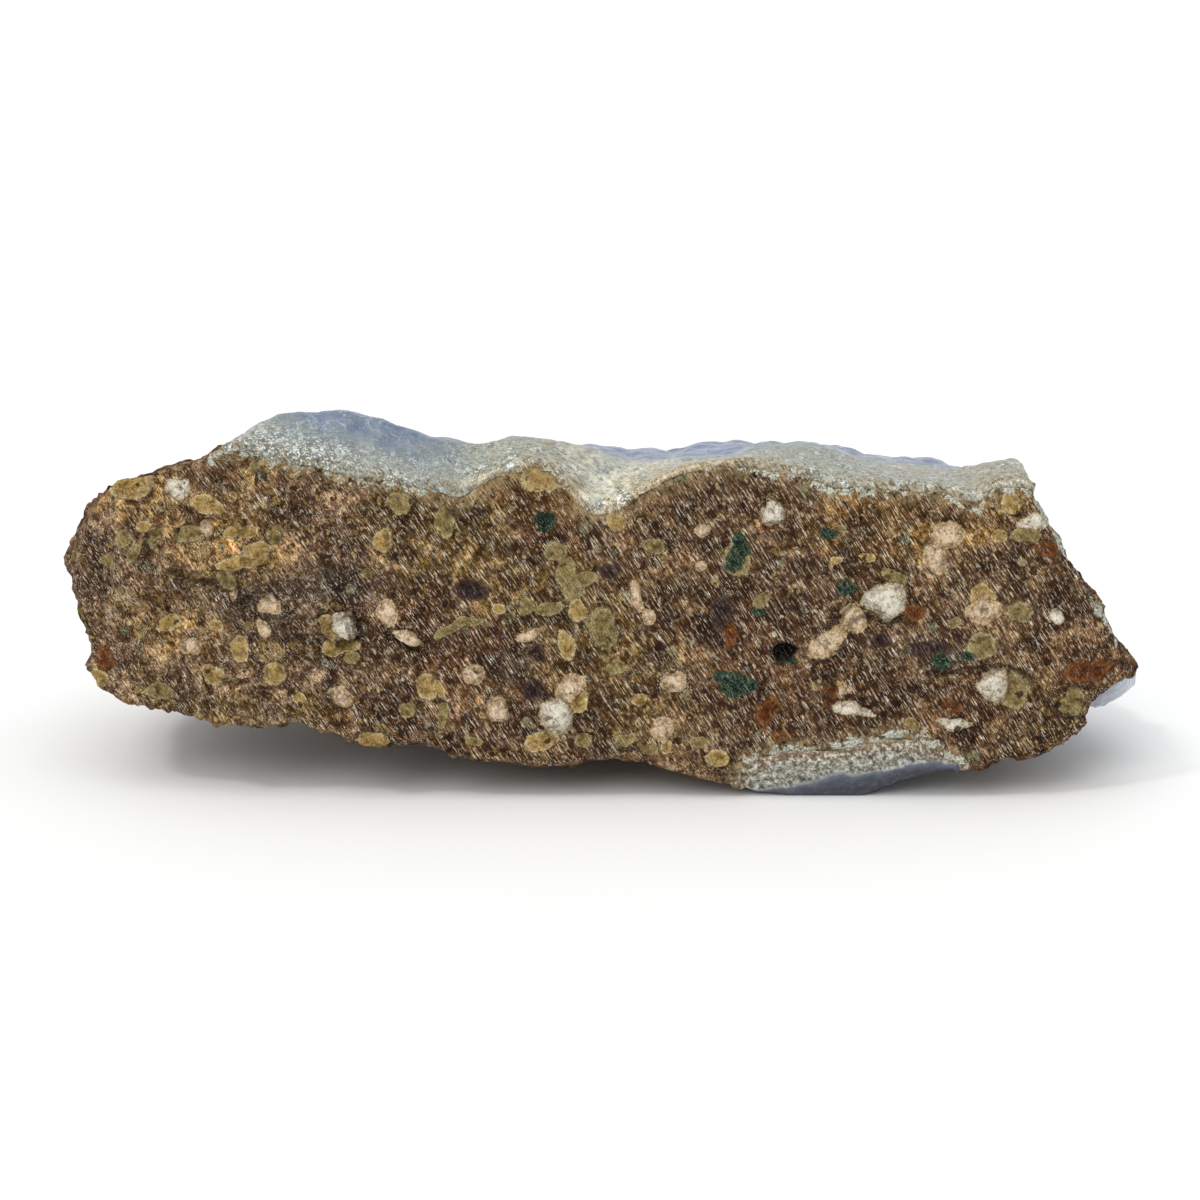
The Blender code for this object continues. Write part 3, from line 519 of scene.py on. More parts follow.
# Places along X where the rock's colours change: none of a colour at the first, all at the second
PALER_LEFT = (24.0, 8.0)
PALER_RIGHT = (44.0, 54.0)
CREST_BEGINS = (-26.0, -18.0)
CREST_ENDS = (22.0, 12.0)

# How much the ground is brightened at the rough left end, on the even face, and on its paler parts
ROUGH_GAIN = (3.74, 3.82, 3.98, 1)
EVEN_GAIN = (2.52, 2.40, 2.16, 1)
PALER_GAIN = (1.22, 1.22, 1.19, 1)

# Loose grains, from large to small: Voronoi scale, size, share of cells with none, and how much
# smaller they are on the even face
LOOSE_GRAINS = ((0.20, 0.55, 0.66, 0.6), (0.50, 0.55, 0.58, 0.06), (1.05, 0.52, 0.56, 0.06))

paint = start_material("volcanic_breccia")


def colour_steps(material, factor, steps):
    """A colour ramp through steps of place and screen colour."""
    node = put(material, "ShaderNodeValToRGB", {"Fac": factor})
    bar = node.color_ramp.elements
    while len(bar) < len(steps):
        bar.new(1)
    for element, (place, colour) in zip(bar, steps):
        element.position = place
        element.color = tone(*colour)
    return node.outputs["Color"]


def lay_over(material, factor, under, over, blend="MIX"):
    """Over on top of under, where factor is 1."""
    node = put(material, "ShaderNodeMix", data_type="RGBA", blend_type=blend)
    tree = material.node_tree
    for index, value in ((0, factor), (6, under), (7, over)):
        if isinstance(value, bpy.types.NodeSocket):
            tree.links.new(value, node.inputs[index])
        else:
            node.inputs[index].default_value = value
    return node.outputs[2]


def stretch(material, value, low, high):
    """0 at low and 1 at high, smooth between, and held there outside."""
    node = put(material, "ShaderNodeMapRange", {0: value, 1: low, 2: high},
               interpolation_type="SMOOTHSTEP")
    return node.outputs[0]


def sums(material, kind, first, second, third=0.0):
    """Plain arithmetic on values."""
    return put(material, "ShaderNodeMath", {0: first, 1: second, 2: third}, operation=kind).outputs[0]


def times(material, first, *others):
    """The product of the values."""
    for other in others:
        first = sums(material, "MULTIPLY", first, other)
    return first


def plus(material, first, *others):
    """The sum of the values."""
    for other in others:
        first = sums(material, "ADD", first, other)
    return first


def minus(material, first, second):
    """First less second."""
    return sums(material, "SUBTRACT", first, second)


def all_but(material, value, share=1.0):
    """1, less that share of the value."""
    return sums(material, "MULTIPLY_ADD", value, -share, 1.0)


def centred(material, value, reach):
    """A noise of 0 to 1 made into one of that reach, half of it to either side of 0."""
    return sums(material, "MULTIPLY_ADD", value, reach, -reach / 2)


def window(material, value, rise, fall):
    """1 from the end of rise to the end of fall, and 0 outside them."""
    return times(material, stretch(material, value, *rise), stretch(material, value, *fall))


def scattered(material, place, noise_colour, reach):
    """The place, moved about by a noise of that reach in millimetres."""
    return put(material, "ShaderNodeVectorMath", {0: noise_colour, 1: (reach, reach, reach), 2: place},
               operation="MULTIPLY_ADD").outputs[0]


def stored(material, name):
    """A number that note() stored on the mesh."""
    return put(material, "ShaderNodeAttribute", attribute_name=name).outputs["Fac"]


def cloud(material, place, scale, detail=3.0, roughness=0.6):
    """Noise of about 1 / scale millimetres."""
    node = put(material, "ShaderNodeTexNoise",
               {"Vector": place, "Scale": scale, "Detail": detail, "Roughness": roughness})
    return node.outputs["Fac"]


def millimetres(material):
    """The place on the piece, counted in millimetres."""
    here = put(material, "ShaderNodeTexCoord").outputs["Object"]
    return put(material, "ShaderNodeMapping", {"Vector": here, "Scale": (1000, 1000, 1000)}).outputs[0]


def clad(piece, material, colour, relief, strength, depth, settings):
    """Ends the material with a fine relief, depth in millimetres, and puts it on the piece."""
    bump = put(material, "ShaderNodeBump",
               {"Height": relief, "Strength": strength, "Distance": depth * MM})
    skin = put(material, "ShaderNodeBsdfPrincipled",
               {"Base Color": colour, "Normal": bump.outputs[0], **settings})
    put(material, "ShaderNodeOutputMaterial", {"Surface": skin.outputs[0]})
    piece.data.materials.append(material)
    pick(piece)
    bpy.ops.object.shade_smooth()


def needles(material, here, along, across):
    """Noise drawn out one way, down to the right on the face, as flow lines up small needles."""
    turned = put(material, "ShaderNodeMapping", {"Vector": here, "Rotation": (0, math.radians(-57.3), 0)})
    drawn = put(material, "ShaderNodeMapping",
                {"Vector": turned.outputs[0], "Scale": (along, across, across)})
    return cloud(material, drawn.outputs[0], 1.0, 2.0, 0.7)


here = millimetres(paint)
wobble = put(paint, "ShaderNodeTexNoise", {"Vector": here, "Scale": 0.7, "Detail": 3.0})
bent = scattered(paint, here, wobble.outputs["Color"], 1.8)
streaks = needles(paint, here, 0.42, 6.4)
strands = needles(paint, here, 0.3, 1.3)
ragged = cloud(paint, here, 0.9, 5.0, 0.7)
mottle = cloud(paint, here, 0.16, 3.0, 0.55)
blotch = cloud(paint, bent, 0.30, 3.0, 0.6)
grain = cloud(paint, bent, 0.9, 4.0, 0.65)
grit = cloud(paint, here, 3.6, 3.0, 0.8)


def cells_of(scale):
    """Voronoi cells in the rock: the distance from each cell's middle, and its three random values."""
    cells = put(paint, "ShaderNodeTexVoronoi", {"Vector": bent, "Scale": scale})
    draws = put(paint, "ShaderNodeSeparateColor", {"Color": cells.outputs["Color"]})
    return cells.outputs["Distance"], draws.outputs


def fragments(scale, steps):
    """Angular bits of rock, each of one colour out of steps."""
    draws = cells_of(scale)[1]
    return colour_steps(paint, stretch(paint, draws[0], 0.0, 1.0), steps)


# Groundmass: purple-brown ash packed with angular bits of darker and paler rock
colour = colour_steps(paint, mottle, [
    (0.30, (92, 72, 66)), (0.45, (108, 86, 74)), (0.55, (118, 94, 76)), (0.70, (130, 106, 80))])
bits = fragments(0.42, [
    (0.0, (66, 48, 46)), (0.3, (98, 76, 68)), (0.6, (120, 96, 76)), (0.85, (140, 120, 96)),
    (1.0, (168, 148, 124))])
colour = lay_over(paint, 0.5, colour, bits)
bits = fragments(1.15, [
    (0.0, (48, 34, 32)), (0.35, (90, 70, 60)), (0.65, (122, 100, 78)), (0.9, (170, 150, 122)),
    (1.0, (200, 186, 164))])
colour = lay_over(paint, 0.40, colour, bits)
speckle = colour_steps(paint, grain, [
    (0.30, (30, 18, 16)), (0.42, (82, 62, 50)), (0.52, (122, 98, 74)), (0.62, (178, 156, 122)),
    (0.74, (214, 198, 166))])
colour = lay_over(paint, 0.48, colour, speckle)
olive_ground = colour_steps(paint, grain, [
    (0.30, (62, 50, 30)), (0.46, (108, 92, 56)), (0.58, (142, 124, 80)), (0.72, (176, 160, 112))])
tan_ground = colour_steps(paint, grain, [
    (0.30, (92, 72, 44)), (0.46, (154, 128, 84)), (0.58, (186, 160, 110)), (0.72, (212, 194, 152))])
warm_ground = colour_steps(paint, grain, [
    (0.30, (52, 32, 24)), (0.46, (94, 66, 48)), (0.58, (122, 92, 66)), (0.72, (158, 128, 98))])
for name, ground, low, high in (("olive_patches", olive_ground, 0.34, 0.52),
                                ("tan_patches", tan_ground, 0.34, 0.47),
                                ("warm_patches", warm_ground, 0.36, 0.54)):
    patch = times(paint, stored(paint, name), stretch(paint, ragged, low, high), 0.85)
    colour = lay_over(paint, patch, colour, ground)
colour = lay_over(paint, times(paint, stored(paint, "smooth_patches"), 0.8),
                  colour, tone(90, 79, 73))

# Darker and paler areas a few millimetres across, and deeper colours, as on a fresh break
shade = colour_steps(paint, blotch, [
    (0.32, (152, 138, 126)), (0.46, (206, 200, 194)), (0.56, (232, 231, 228)), (0.68, (255, 255, 255))])
colour = lay_over(paint, 1.0, colour, shade, "MULTIPLY")
shade = colour_steps(paint, mottle, [
    (0.36, (172, 160, 152)), (0.46, (210, 206, 202)), (0.54, (236, 236, 235)), (0.64, (255, 255, 255))])
colour = lay_over(paint, 1.0, colour, shade, "MULTIPLY")
colour = put(paint, "ShaderNodeGamma", {"Color": colour, "Gamma": 1.3}).outputs["Color"]
rough_end = lay_over(paint, 1.0, colour, ROUGH_GAIN, "MULTIPLY")
even_face = lay_over(paint, 1.0, colour, EVEN_GAIN, "MULTIPLY")
colour = lay_over(paint, stored(paint, "flat_front"), rough_end, even_face)
across = put(paint, "ShaderNodeSeparateXYZ", {"Vector": bent}).outputs["X"]
paler_part = plus(paint, stretch(paint, across, *PALER_LEFT),
                  times(paint, stretch(paint, across, *PALER_RIGHT), 0.7))
paler_part = times(paint, paler_part, stored(paint, "flat_front"))
paler = lay_over(paint, 1.0, colour, PALER_GAIN, "MULTIPLY")
colour = lay_over(paint, paler_part, colour, paler)


def zoned_grain(under, covered, field, steps):
    """Grains with a dark skin and a paler ring inside, as filled gas bubbles in lava have. Gives
    back the colour, and where grains lie so far."""
    value = plus(paint, field, sums(paint, "MULTIPLY_ADD", ragged, 0.8, -0.30))
    fill = colour_steps(paint, stretch(paint, value, -0.15, 0.75), steps)
    uneven = colour_steps(paint, grain, [
        (0.36, (164, 154, 142)), (0.46, (222, 218, 212)), (0.56, (255, 255, 255))])
    fill = lay_over(paint, 1.0, fill, uneven, "MULTIPLY")
    mask = stretch(paint, value, -0.14, -0.02)
    return lay_over(paint, mask, under, fill), sums(paint, "MAXIMUM", covered, mask)


# Loose grains all over, from half a millimetre to three, picked out of Voronoi cells
for scale, reach, share, fewer in LOOSE_GRAINS:
    from_middle, draws = cells_of(scale)
    size = times(paint, stretch(paint, draws[0], share, 1.0), reach)
    field = minus(paint, size, from_middle)
    field = minus(paint, field, times(paint, stored(paint, "flat_front"), fewer))
    field = plus(paint, field, centred(paint, ragged, 0.5))
    fill = colour_steps(paint, draws[1], [
        (0.05, (98, 64, 38)), (0.22, (132, 108, 62)), (0.40, (150, 126, 76)), (0.58, (172, 144, 92)),
        (0.75, (190, 168, 134)), (0.88, (140, 142, 116)), (1.0, (76, 54, 48))])
    rind = colour_steps(paint, stretch(paint, field, 0.0, 0.2), [
        (0.0, (96, 78, 62)), (0.5, (220, 208, 184)), (1.0, (240, 236, 226))])
    fill = lay_over(paint, 1.0, fill, rind, "MULTIPLY")
    colour = lay_over(paint, stretch(paint, field, -0.03, 0.05), colour, fill)

# The placed grains, each kind from its dark skin at 0 to its middle at 1
GRAIN_COLOURS = (
    ("dark_spots", [(0.0, (92, 72, 58)), (0.4, (70, 52, 48)), (1.0, (54, 38, 38))]),
    ("olive_grains", [(0.0, (58, 44, 26)), (0.15, (182, 168, 122)), (0.34, (160, 144, 98)),
                      (1.0, (148, 130, 82))]),
    ("tan_grains", [(0.0, (60, 42, 24)), (0.13, (218, 200, 152)), (0.32, (196, 170, 114)),
                    (1.0, (178, 148, 88))]),
    ("cream_grains", [(0.0, (76, 52, 34)), (0.13, (216, 194, 156)), (0.34, (204, 176, 138)),
                      (1.0, (228, 210, 184))]),
    ("rust_spots", [(0.0, (96, 68, 40)), (0.4, (136, 82, 34)), (1.0, (100, 52, 22))]),
    ("green_spots", [(0.0, (76, 74, 48)), (0.2, (44, 70, 50)), (0.45, (10, 58, 46)), (1.0, (2, 42, 36))]),
    ("white_grains", [(0.0, (58, 42, 30)), (0.11, (196, 176, 138)), (0.26, (214, 205, 186)),
                      (1.0, (236, 231, 219))]),
    # The pit's inside is painted near black, as shade
    ("pit_shade", [(0.0, (42, 30, 24)), (0.3, (26, 12, 12)), (1.0, (14, 6, 6))]),
)
covered = 0.0
for name, steps in GRAIN_COLOURS:
    colour, covered = zoned_grain(colour, covered, stored(paint, name), steps)

# Grit, and fine pale needles and dark gaps that all run one way, fainter over the grains
fine = colour_steps(paint, grit, [
    (0.28, (46, 34, 22)), (0.50, (168, 166, 163)), (0.74, (255, 255, 250))])
colour = lay_over(paint, 0.7, colour, fine, "OVERLAY")
open_ground = times(paint, all_but(paint, covered, 0.68),
                    sums(paint, "MULTIPLY_ADD", stored(paint, "on_front"), 0.8, 0.2))
fine = colour_steps(paint, strands, [
    (0.30, (70, 58, 46)), (0.50, (180, 178, 175)), (0.72, (255, 255, 250))])
colour = lay_over(paint, times(paint, open_ground, 0.4), colour, fine, "OVERLAY")
gaps = times(paint, stretch(paint, streaks, 0.47, 0.39), open_ground, 0.92)
colour = lay_over(paint, gaps, colour, tone(44, 25, 9))
laths = times(paint, stretch(paint, streaks, 0.56, 0.62), open_ground,
              sums(paint, "MULTIPLY_ADD", grain, 3.0, -1.0))
colour = lay_over(paint, laths, colour, tone(232, 222, 200))

# Pale flecks in the green spots, small dark spots painted as the shade inside tiny holes, and the cracks
# and undercut grain edges painted dark as the shade in them
flecks = times(paint, stretch(paint, grit, 0.53, 0.60),
               stretch(paint, stored(paint, "green_spots"), -0.15, 0.0), 0.45)
colour = lay_over(paint, flecks, colour, tone(120, 132, 98))
# Painted shade: small near-black spots where tiny holes would be, with no hollow in the surface
from_middle, draws = cells_of(0.62)
hole_size = times(paint, stretch(paint, draws[2], 0.86, 1.0), 0.34)
hole_shade = stretch(paint, minus(paint, hole_size, from_middle), -0.03, 0.05)
colour = lay_over(paint, times(paint, hole_shade, 0.85), colour, tone(36, 20, 10))
# Painted shade: the cracks and the undercut edges of grains darkened along their lines
crack_shade = times(paint, stored(paint, "crack"), 0.65)
colour = lay_over(paint, crack_shade, colour, tone(38, 22, 12))

# Along the agate the rock is bleached tan, with white spots where crystals reach into it
contact = times(paint, stored(paint, "near_agate"), stretch(paint, ragged, 0.38, 0.62), 0.65)
colour = lay_over(paint, contact, colour, tone(176, 154, 112))
crystals = plus(paint, stored(paint, "near_agate"), centred(paint, grain, 3.6),
                centred(paint, blotch, 1.6))
crest = window(paint, across, CREST_BEGINS, CREST_ENDS)
crystals = sums(paint, "MULTIPLY_ADD", crest, -0.6, crystals)
on_edge = plus(paint, stored(paint, "pale_edge"), centred(paint, ragged, 1.0))
crystals = stretch(paint, sums(paint, "MAXIMUM", crystals, on_edge), 0.84, 1.0)
chalky = colour_steps(paint, grit, [
    (0.34, (92, 90, 74)), (0.46, (162, 162, 144)), (0.55, (204, 206, 192)), (0.66, (232, 234, 224))])
colour = lay_over(paint, crystals, colour, chalky)

relief = plus(paint, times(paint, streaks, 0.6), grit, grain)
clad(rock, paint, colour, relief, 0.8, 0.35, {"Roughness": 0.82, "Specular IOR Level": 0.12})
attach(rock, "root")
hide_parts("host_rock")


# Agate lining: banded chalcedony that grew on the rock inside the hollow, 3 to 9 mm thick and
# thinner at its ends. Its broken edge shows at the front, glassy, cream and green-grey, and its
# free surface is smooth, rounded and lavender-blue. It is grown fast to the rock.
AGATE_VOXEL = 0.57 * MM
THINNEST = 1.2
THICKENED_BY = 0.8
JUST_UNDER = 0.02
OVERLAP = 0.85

# Places where the agate's colours change: none of a colour at the first, all at the second. All
# lie along X, except the front and the back, which lie along Y
GREEN_BEGINS = (-28.0, -18.0)
CREAM_BEGINS = (-10.0, -1.0)
CREAM_ENDS = (20.0, 10.0)
TAN_END = (45.0, 52.0)
LEFT_END = (-42.0, -50.0)
CLUSTERS_LEFT = (-30.0, -40.0)
STRIATED_BEGINS = (-26.0, -16.0)
STRIATED_ENDS = (22.0, 14.0)
LIGHTENED_TIP = (62.0, 68.0)
BACK = (-24.0, -16.0)
FRONT = (-24.0, -28.0)

lining = copy_of_node("agate_lining", "agate_lining_grown")
cad_rock = surface_of(frame["nodes"]["host_rock"])


def against_rock(piece):
    """How far each point is from the rock, in millimetres, and how much it faces and touches it."""
    spots = places(piece)
    away = distance_to(cad_rock, spots)
    nearest = np.array([tuple(cad_rock.find_nearest(Vector(spot) * MM)[0]) for spot in spots]) / MM
    towards = (nearest - spots) / np.maximum(away[:, None], 0.01)
    facing_it = ramp((towards * facings(piece)).sum(axis=1), 0.15, 0.5)
    return away, facing_it * (1 - ramp(away, 1.2, 2.2))


# Where the crust is thinner than the remesh can hold, it is first thickened towards the rock
crust = surface_of(lining)
thin = np.zeros(len(lining.data.vertices))
for index, (spot, way) in enumerate(zip(places(lining), facings(lining))):
    through = crust.ray_cast(Vector(spot - JUST_UNDER * way) * MM, Vector(-way))[3]
    if through is not None and through < THINNEST * MM:
        thin[index] = 1
push(lining, thin * against_rock(lining)[1], THICKENED_BY)
finish_with(lining, "REMESH", mode="VOXEL", voxel_size=AGATE_VOXEL, adaptivity=0)
finish_with(lining, "SMOOTH", factor=0.5, iterations=9)

spots = places(lining)
facing = facings(lining)
depth, grown_on = against_rock(lining)
push(lining, grown_on, OVERLAP)

# Rounded domes on the free inner face
inside = ramp(facing[:, 2], -0.2, 0.3) * ramp(depth, 2.5, 4.5) * ramp(spots[:, 1], -25, -20)
push(lining, inside, -1.7,
     pattern_of("VORONOI", "small_domes", 5.2, distance_metric="DISTANCE_SQUARED"), 0.3)
push(lining, inside, -0.5, pattern_of("VORONOI", "tiny_domes", 2.4, distance_metric="DISTANCE_SQUARED"))

# Splinters and crystals on the broken edge, and shell-shaped breaks where it is glassy
broken = (1 - grown_on) * (1 - inside)
glassy = broken * (1 - ramp(spots[:, 0], -26, -16)) * ramp(depth, 2.0, 4.0)
finish_with(lining, "SMOOTH", factor=0.5, iterations=2)
thick = ramp(depth, 1.0, 2.4)
push(lining, broken * thick * (1 - 0.7 * glassy), 0.45,
     pattern_of("CLOUDS", "edge_splinters", 2.2, noise_depth=3, noise_type="HARD_NOISE"), 0.5)
push(lining, broken * thick * (1 - 0.85 * glassy), 0.2, pattern_of("VORONOI", "edge_crystals", 1.1), 0.4)
push(lining, glassy, 0.8, pattern_of("CLOUDS", "glassy_waves", 4.0, noise_depth=1), 0.5)
push(lining, glassy, -0.7,
     pattern_of("VORONOI", "shell_breaks", 3.4, distance_metric="DISTANCE_SQUARED"), 0.2)
keep_inside(lining, "agate_lining")

note(lining, "depth", depth)
note(lining, "inner_face", np.clip(inside, 0, 1))
note(lining, "glassy", np.clip(glassy, 0, 1))

paint = start_material("blue_lace_agate")
here = millimetres(paint)
place = put(paint, "ShaderNodeSeparateXYZ", {"Vector": here})
wave = cloud(paint, here, 0.10, 3.0, 0.5)
cloudy = cloud(paint, here, 0.35, 4.0, 0.6)
crystal = cloud(paint, here, 1.3, 4.0, 0.75)
fine_crystal = cloud(paint, here, 3.2, 2.0, 0.6)
splinters = needles(paint, here, 0.38, 4.8)
striae = needles(paint, here, 0.12, 1.6)

# Lace bands follow the depth over the rock, with a slow wave and a little raggedness
level = plus(paint, stored(paint, "depth"), centred(paint, wave, 5.0),
             centred(paint, crystal, 1.2))
band = sums(paint, "SINE", times(paint, level, 5.2), 0.0)
band = sums(paint, "MULTIPLY_ADD", band, 0.375, 0.375)
lace = colour_steps(paint, sums(paint, "MULTIPLY_ADD", cloudy, 0.25, band), [
    (0.10, (112, 124, 148)), (0.45, (134, 146, 168)), (0.70, (162, 172, 186)), (0.92, (198, 204, 210))])

# The broken edge is blue-grey and glassy at the left, cream in the middle, green-grey at the
# right and tan at its right end; everywhere it grows paler and grainier towards the rock
mixed_level = plus(paint, times(paint, level, 0.1), centred(paint, cloudy, 1.0))
# The blue-grey edge is palest at its highest level, a painted highlight along the crest
blue_edge = colour_steps(paint, mixed_level, [
    (0.02, (112, 109, 94)), (0.10, (119, 123, 117)), (0.26, (121, 128, 127)), (0.42, (114, 124, 130)),
    (0.56, (106, 119, 139)), (0.68, (93, 109, 136)), (0.82, (116, 128, 145)), (0.96, (145, 153, 159))])
cream_edge = colour_steps(paint, mixed_level, [
    (0.02, (176, 156, 118)), (0.10, (194, 184, 160)), (0.30, (192, 189, 172)), (0.52, (150, 153, 145)),
    (0.75, (122, 128, 127)), (0.95, (137, 140, 143))])
green_edge = colour_steps(paint, mixed_level, [
    (0.02, (143, 128, 97)), (0.10, (151, 149, 133)), (0.30, (141, 145, 133)), (0.60, (134, 139, 133)),
    (0.95, (145, 149, 151))])
along = plus(paint, place.outputs["X"], centred(paint, cloudy, 16.0))
edge = lay_over(paint, stretch(paint, along, *GREEN_BEGINS), blue_edge, green_edge)
edge = lay_over(paint, window(paint, along, CREAM_BEGINS, CREAM_ENDS), edge, cream_edge)
for end, share, tint in ((TAN_END, 0.6, tone(160, 148, 118)), (LEFT_END, 0.7, tone(142, 146, 130))):
    at_end = times(paint, stretch(paint, along, *end), share)
    edge = lay_over(paint, at_end, edge, tint)

# Grainy crystals low down, a few over the rest, and long diagonal striations
pale = colour_steps(paint, crystal, [
    (0.34, (78, 82, 70)), (0.44, (112, 116, 104)), (0.52, (146, 150, 138)), (0.59, (186, 190, 180)),
    (0.68, (226, 229, 223))])
low_down = stretch(paint, level, 5.2, 0.8)
grains_here = sums(paint, "MULTIPLY_ADD", low_down, 0.36, 0.04)
middle = window(paint, along, STRIATED_BEGINS, STRIATED_ENDS)
grains_here = times(paint, grains_here, all_but(paint, middle, 0.75))
edge = lay_over(paint, grains_here, edge, pale)
stripes = colour_steps(paint, striae, [
    (0.30, (110, 112, 102)), (0.46, (168, 168, 161)), (0.56, (196, 196, 191)), (0.70, (236, 236, 232))])
striped = sums(paint, "MULTIPLY_ADD", middle, 0.45, 0.3)
edge = lay_over(paint, striped, edge, stripes, "OVERLAY")
pale_ones = times(paint, stretch(paint, splinters, 0.57, 0.66), 0.6)
edge = lay_over(paint, pale_ones, edge, tone(228, 228, 214))
dark_ones = times(paint, stretch(paint, splinters, 0.42, 0.32), 0.4)
edge = lay_over(paint, dark_ones, edge, tone(88, 92, 74))
clear = lay_over(paint, 0.25, blue_edge, stripes, "OVERLAY")
edge = lay_over(paint, times(paint, stored(paint, "glassy"), 0.65), edge, clear)
back = times(paint, stretch(paint, place.outputs["Y"], *BACK), 0.8)
edge = lay_over(paint, back, edge, lace)
# Painted light: the agate at the right tip is lightened towards pale blue-grey, where it lies in shade
# under the tip
painted_light_tip = times(paint, stretch(paint, place.outputs["X"], *LIGHTENED_TIP), 0.6)
edge = lay_over(paint, painted_light_tip, edge, tone(205, 210, 217))

# The free inner face
inner = colour_steps(paint, cloudy, [
    (0.30, (102, 111, 135)), (0.50, (118, 128, 150)), (0.70, (143, 151, 169))])
inner = lay_over(paint, 0.35, inner, lace)
colour = lay_over(paint, stored(paint, "inner_face"), edge, inner)

# White veins, small white crystals with painted glints on them, and their clusters at the left and along
# the rock
vein = cloud(paint, here, 0.22, 3.0, 0.55)
vein = sums(paint, "COMPARE", vein, 0.5, 0.008)
colour = lay_over(paint, times(paint, vein, 0.25), colour, tone(214, 220, 222))
clusters = times(paint, stretch(paint, cloudy, 0.50, 0.62),
                 sums(paint, "MULTIPLY_ADD", low_down, 0.8, 0.2))
clusters_left = times(paint, stretch(paint, along, *CLUSTERS_LEFT), low_down, 0.9)
on_edge = all_but(paint, stored(paint, "inner_face"))
clusters = times(paint, sums(paint, "MAXIMUM", clusters, clusters_left), on_edge)
nudge = put(paint, "ShaderNodeTexNoise", {"Vector": here, "Scale": 1.6, "Detail": 2.0})
crystal_place = scattered(paint, here, nudge.outputs["Color"], 0.7)
single = put(paint, "ShaderNodeTexVoronoi", {"Vector": crystal_place, "Scale": 0.9})
single = single.outputs["Distance"]
between = times(paint, stretch(paint, single, 0.40, 0.62), clusters, 0.75)
colour = lay_over(paint, between, colour, tone(76, 80, 64))
bright = times(paint, stretch(paint, single, 0.36, 0.18), clusters, 0.65)
colour = lay_over(paint, bright, colour, tone(224, 228, 222))
# Painted highlights: fine white specks as glints on the crystals
glint_specks = times(paint, stretch(paint, fine_crystal, 0.54, 0.62), clusters)
colour = lay_over(paint, glint_specks, colour, tone(240, 243, 240))

# Brown bits of the rock reach raggedly into the lowest part of the edge
fringe = plus(paint, stored(paint, "depth"), centred(paint, crystal, 16.0))
fringe = times(paint, stretch(paint, fringe, 0.6, 0.1), on_edge,
               stretch(paint, place.outputs["Y"], *FRONT), 0.85)
rocky = colour_steps(paint, splinters, [
    (0.38, (66, 48, 28)), (0.48, (106, 84, 54)), (0.57, (152, 130, 90)), (0.68, (204, 190, 156))])
colour = lay_over(paint, fringe, colour, rocky)

# A gloss that varies, and a fine relief where the edge is grainy
gloss = put(paint, "ShaderNodeMapRange", {0: crystal, 3: 0.14, 4: 0.46})
grainy = times(paint, all_but(paint, stored(paint, "glassy"), 0.8), on_edge,
               sums(paint, "MULTIPLY_ADD", clusters, 0.5, 0.5))
relief = times(paint, sums(paint, "MULTIPLY_ADD", crystal, 0.5, splinters), grainy)
clad(lining, paint, colour, relief, 0.4, 0.3,
     {"Roughness": gloss.outputs[0], "IOR": 1.54, "Subsurface Weight": 0.3,
      "Subsurface Radius": (0.8, 1.0, 1.3), "Subsurface Scale": 0.8 * MM,
      "Coat Weight": 0.25, "Coat Roughness": 0.08})
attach(lining, "root")
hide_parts("agate_lining")


# Lower seam: a lens of the same chalcedony at the lower right of the face, whitish above, with a
# bluish white band and a blue-grey lower part, darkened as painted shade under the seam. It fills a hollow
# of the rock.
SEAM_VOXEL = 0.28 * MM

# Where the dark lower part, painted as shade, ends at the left and at the right: X and Z
SHADE_LIMIT_LEFT = (16.0, -2.8)
SHADE_LIMIT_RIGHT = (46.0, 3.8)

seam = copy_of_node("lower_agate_seam", "lower_agate_seam_grown")
finish_with(seam, "REMESH", mode="VOXEL", voxel_size=SEAM_VOXEL, adaptivity=0)
finish_with(seam, "SMOOTH", factor=0.5, iterations=2)
spots = places(seam)
facing = facings(seam)
to_rock = distance_to(cad_rock, spots)
push(seam, (1 - ramp(to_rock, 0.6, 1.2)) * ramp(facing[:, 1], -0.9, -0.5), 0.5)
push(seam, ramp(spots[:, 2], 0.3, 1.0), 0.45,
     pattern_of("CLOUDS", "seam_grain", 1.4, noise_depth=3, noise_type="HARD_NOISE"), 0.6)
keep_inside(seam, "lower_agate_seam")
note(seam, "to_rock", to_rock)

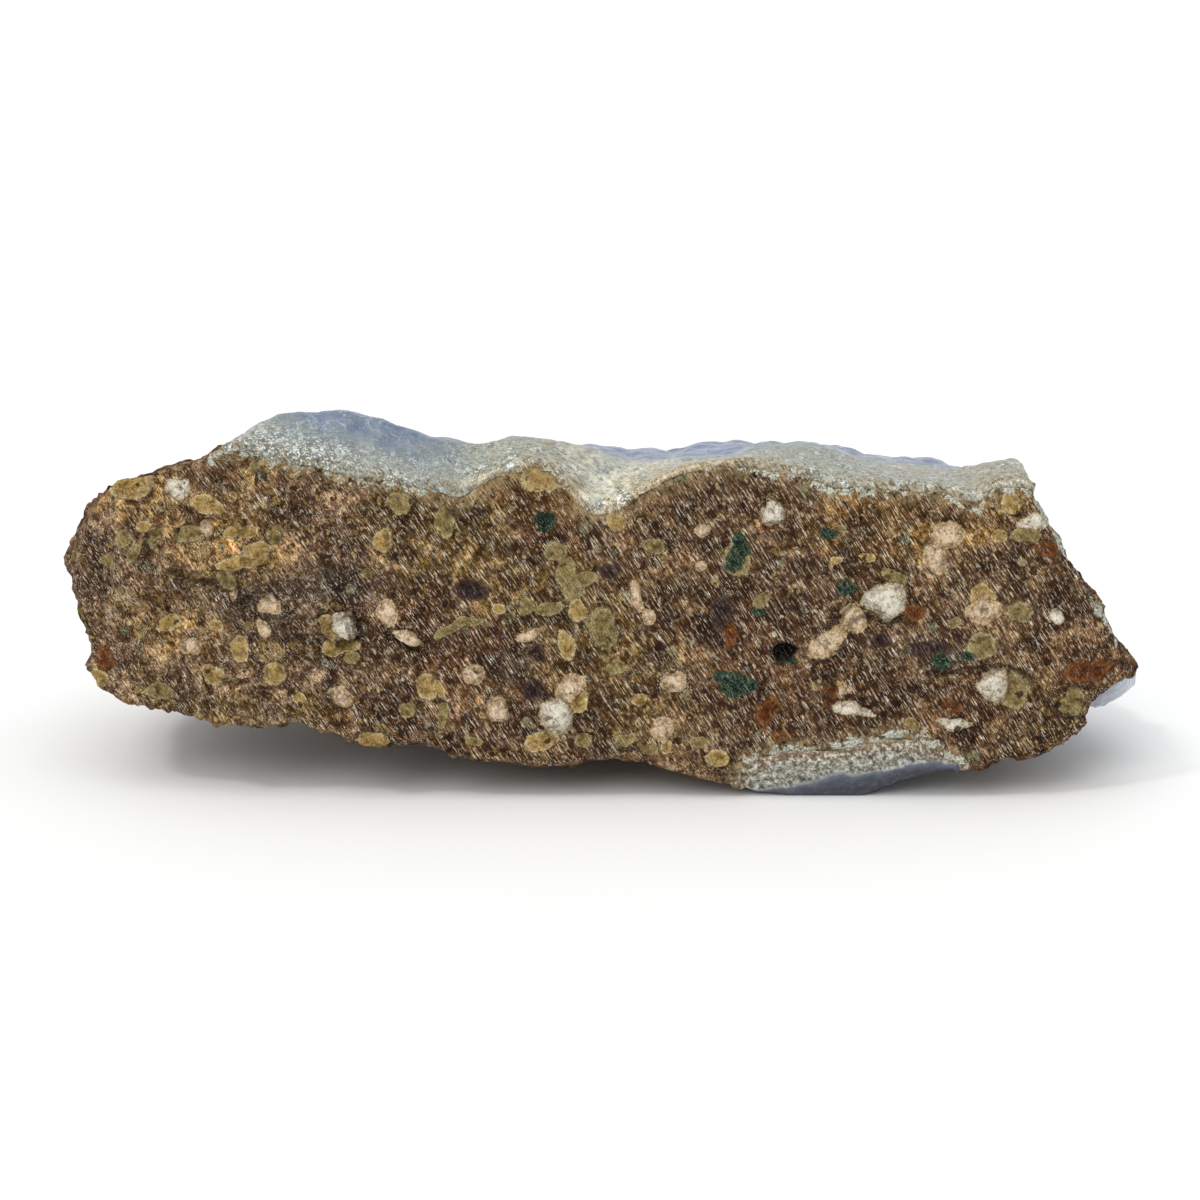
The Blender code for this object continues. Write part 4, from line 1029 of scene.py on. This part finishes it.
paint = start_material("seam_chalcedony")
here = millimetres(paint)
place = put(paint, "ShaderNodeSeparateXYZ", {"Vector": here})
wave = cloud(paint, here, 0.16, 3.0, 0.5)
crystal = cloud(paint, here, 1.3, 4.0, 0.75)
splinters = needles(paint, here, 0.45, 3.2)

# The height over the dark lower part, painted as shade, whose upper limit climbs to the right
shade_limit = put(paint, "ShaderNodeMapRange",
            {0: place.outputs["X"], 1: SHADE_LIMIT_LEFT[0], 2: SHADE_LIMIT_RIGHT[0], 3: SHADE_LIMIT_LEFT[1],
             4: SHADE_LIMIT_RIGHT[1]})
height = plus(paint, place.outputs["Z"], centred(paint, wave, 3.6))
height = minus(paint, height, shade_limit.outputs[0])
bands_and_shade = colour_steps(paint, times(paint, height, 0.1), [
    (0.02, (44, 46, 62)), (0.14, (64, 69, 88)), (0.20, (92, 98, 110)), (0.24, (164, 170, 172)),
    (0.29, (76, 74, 64)), (0.33, (144, 142, 128)), (0.55, (162, 159, 142)), (0.75, (150, 138, 110))])
mixed = colour_steps(paint, crystal, [
    (0.34, (24, 20, 15)), (0.42, (70, 65, 52)), (0.49, (122, 119, 104)), (0.56, (182, 182, 170)),
    (0.64, (230, 230, 222))])
upper = stretch(paint, height, 1.8, 2.8)
colour = lay_over(paint, sums(paint, "MULTIPLY_ADD", upper, 0.66, 0.06), bands_and_shade, mixed)
pale_ones = times(paint, stretch(paint, splinters, 0.56, 0.66), upper, 0.5)
colour = lay_over(paint, pale_ones, colour, tone(214, 212, 198))
dark_ones = times(paint, stretch(paint, splinters, 0.45, 0.35), upper, 0.7)
colour = lay_over(paint, dark_ones, colour, tone(58, 50, 38))
fringe = plus(paint, stored(paint, "to_rock"), centred(paint, crystal, 14.0))
fringe = times(paint, stretch(paint, fringe, 1.8, 1.0), upper, 0.85)
rocky = colour_steps(paint, crystal, [
    (0.34, (60, 42, 32)), (0.44, (98, 74, 52)), (0.52, (136, 110, 76)), (0.62, (176, 156, 118))])
colour = lay_over(paint, fringe, colour, rocky)
clad(seam, paint, colour, crystal, 0.5, 0.25,
     {"Roughness": 0.42, "IOR": 1.54, "Subsurface Weight": 0.15,
      "Subsurface Radius": (0.8, 1.0, 1.3), "Subsurface Scale": 0.6 * MM})
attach(seam, "root")
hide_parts("lower_agate_seam")
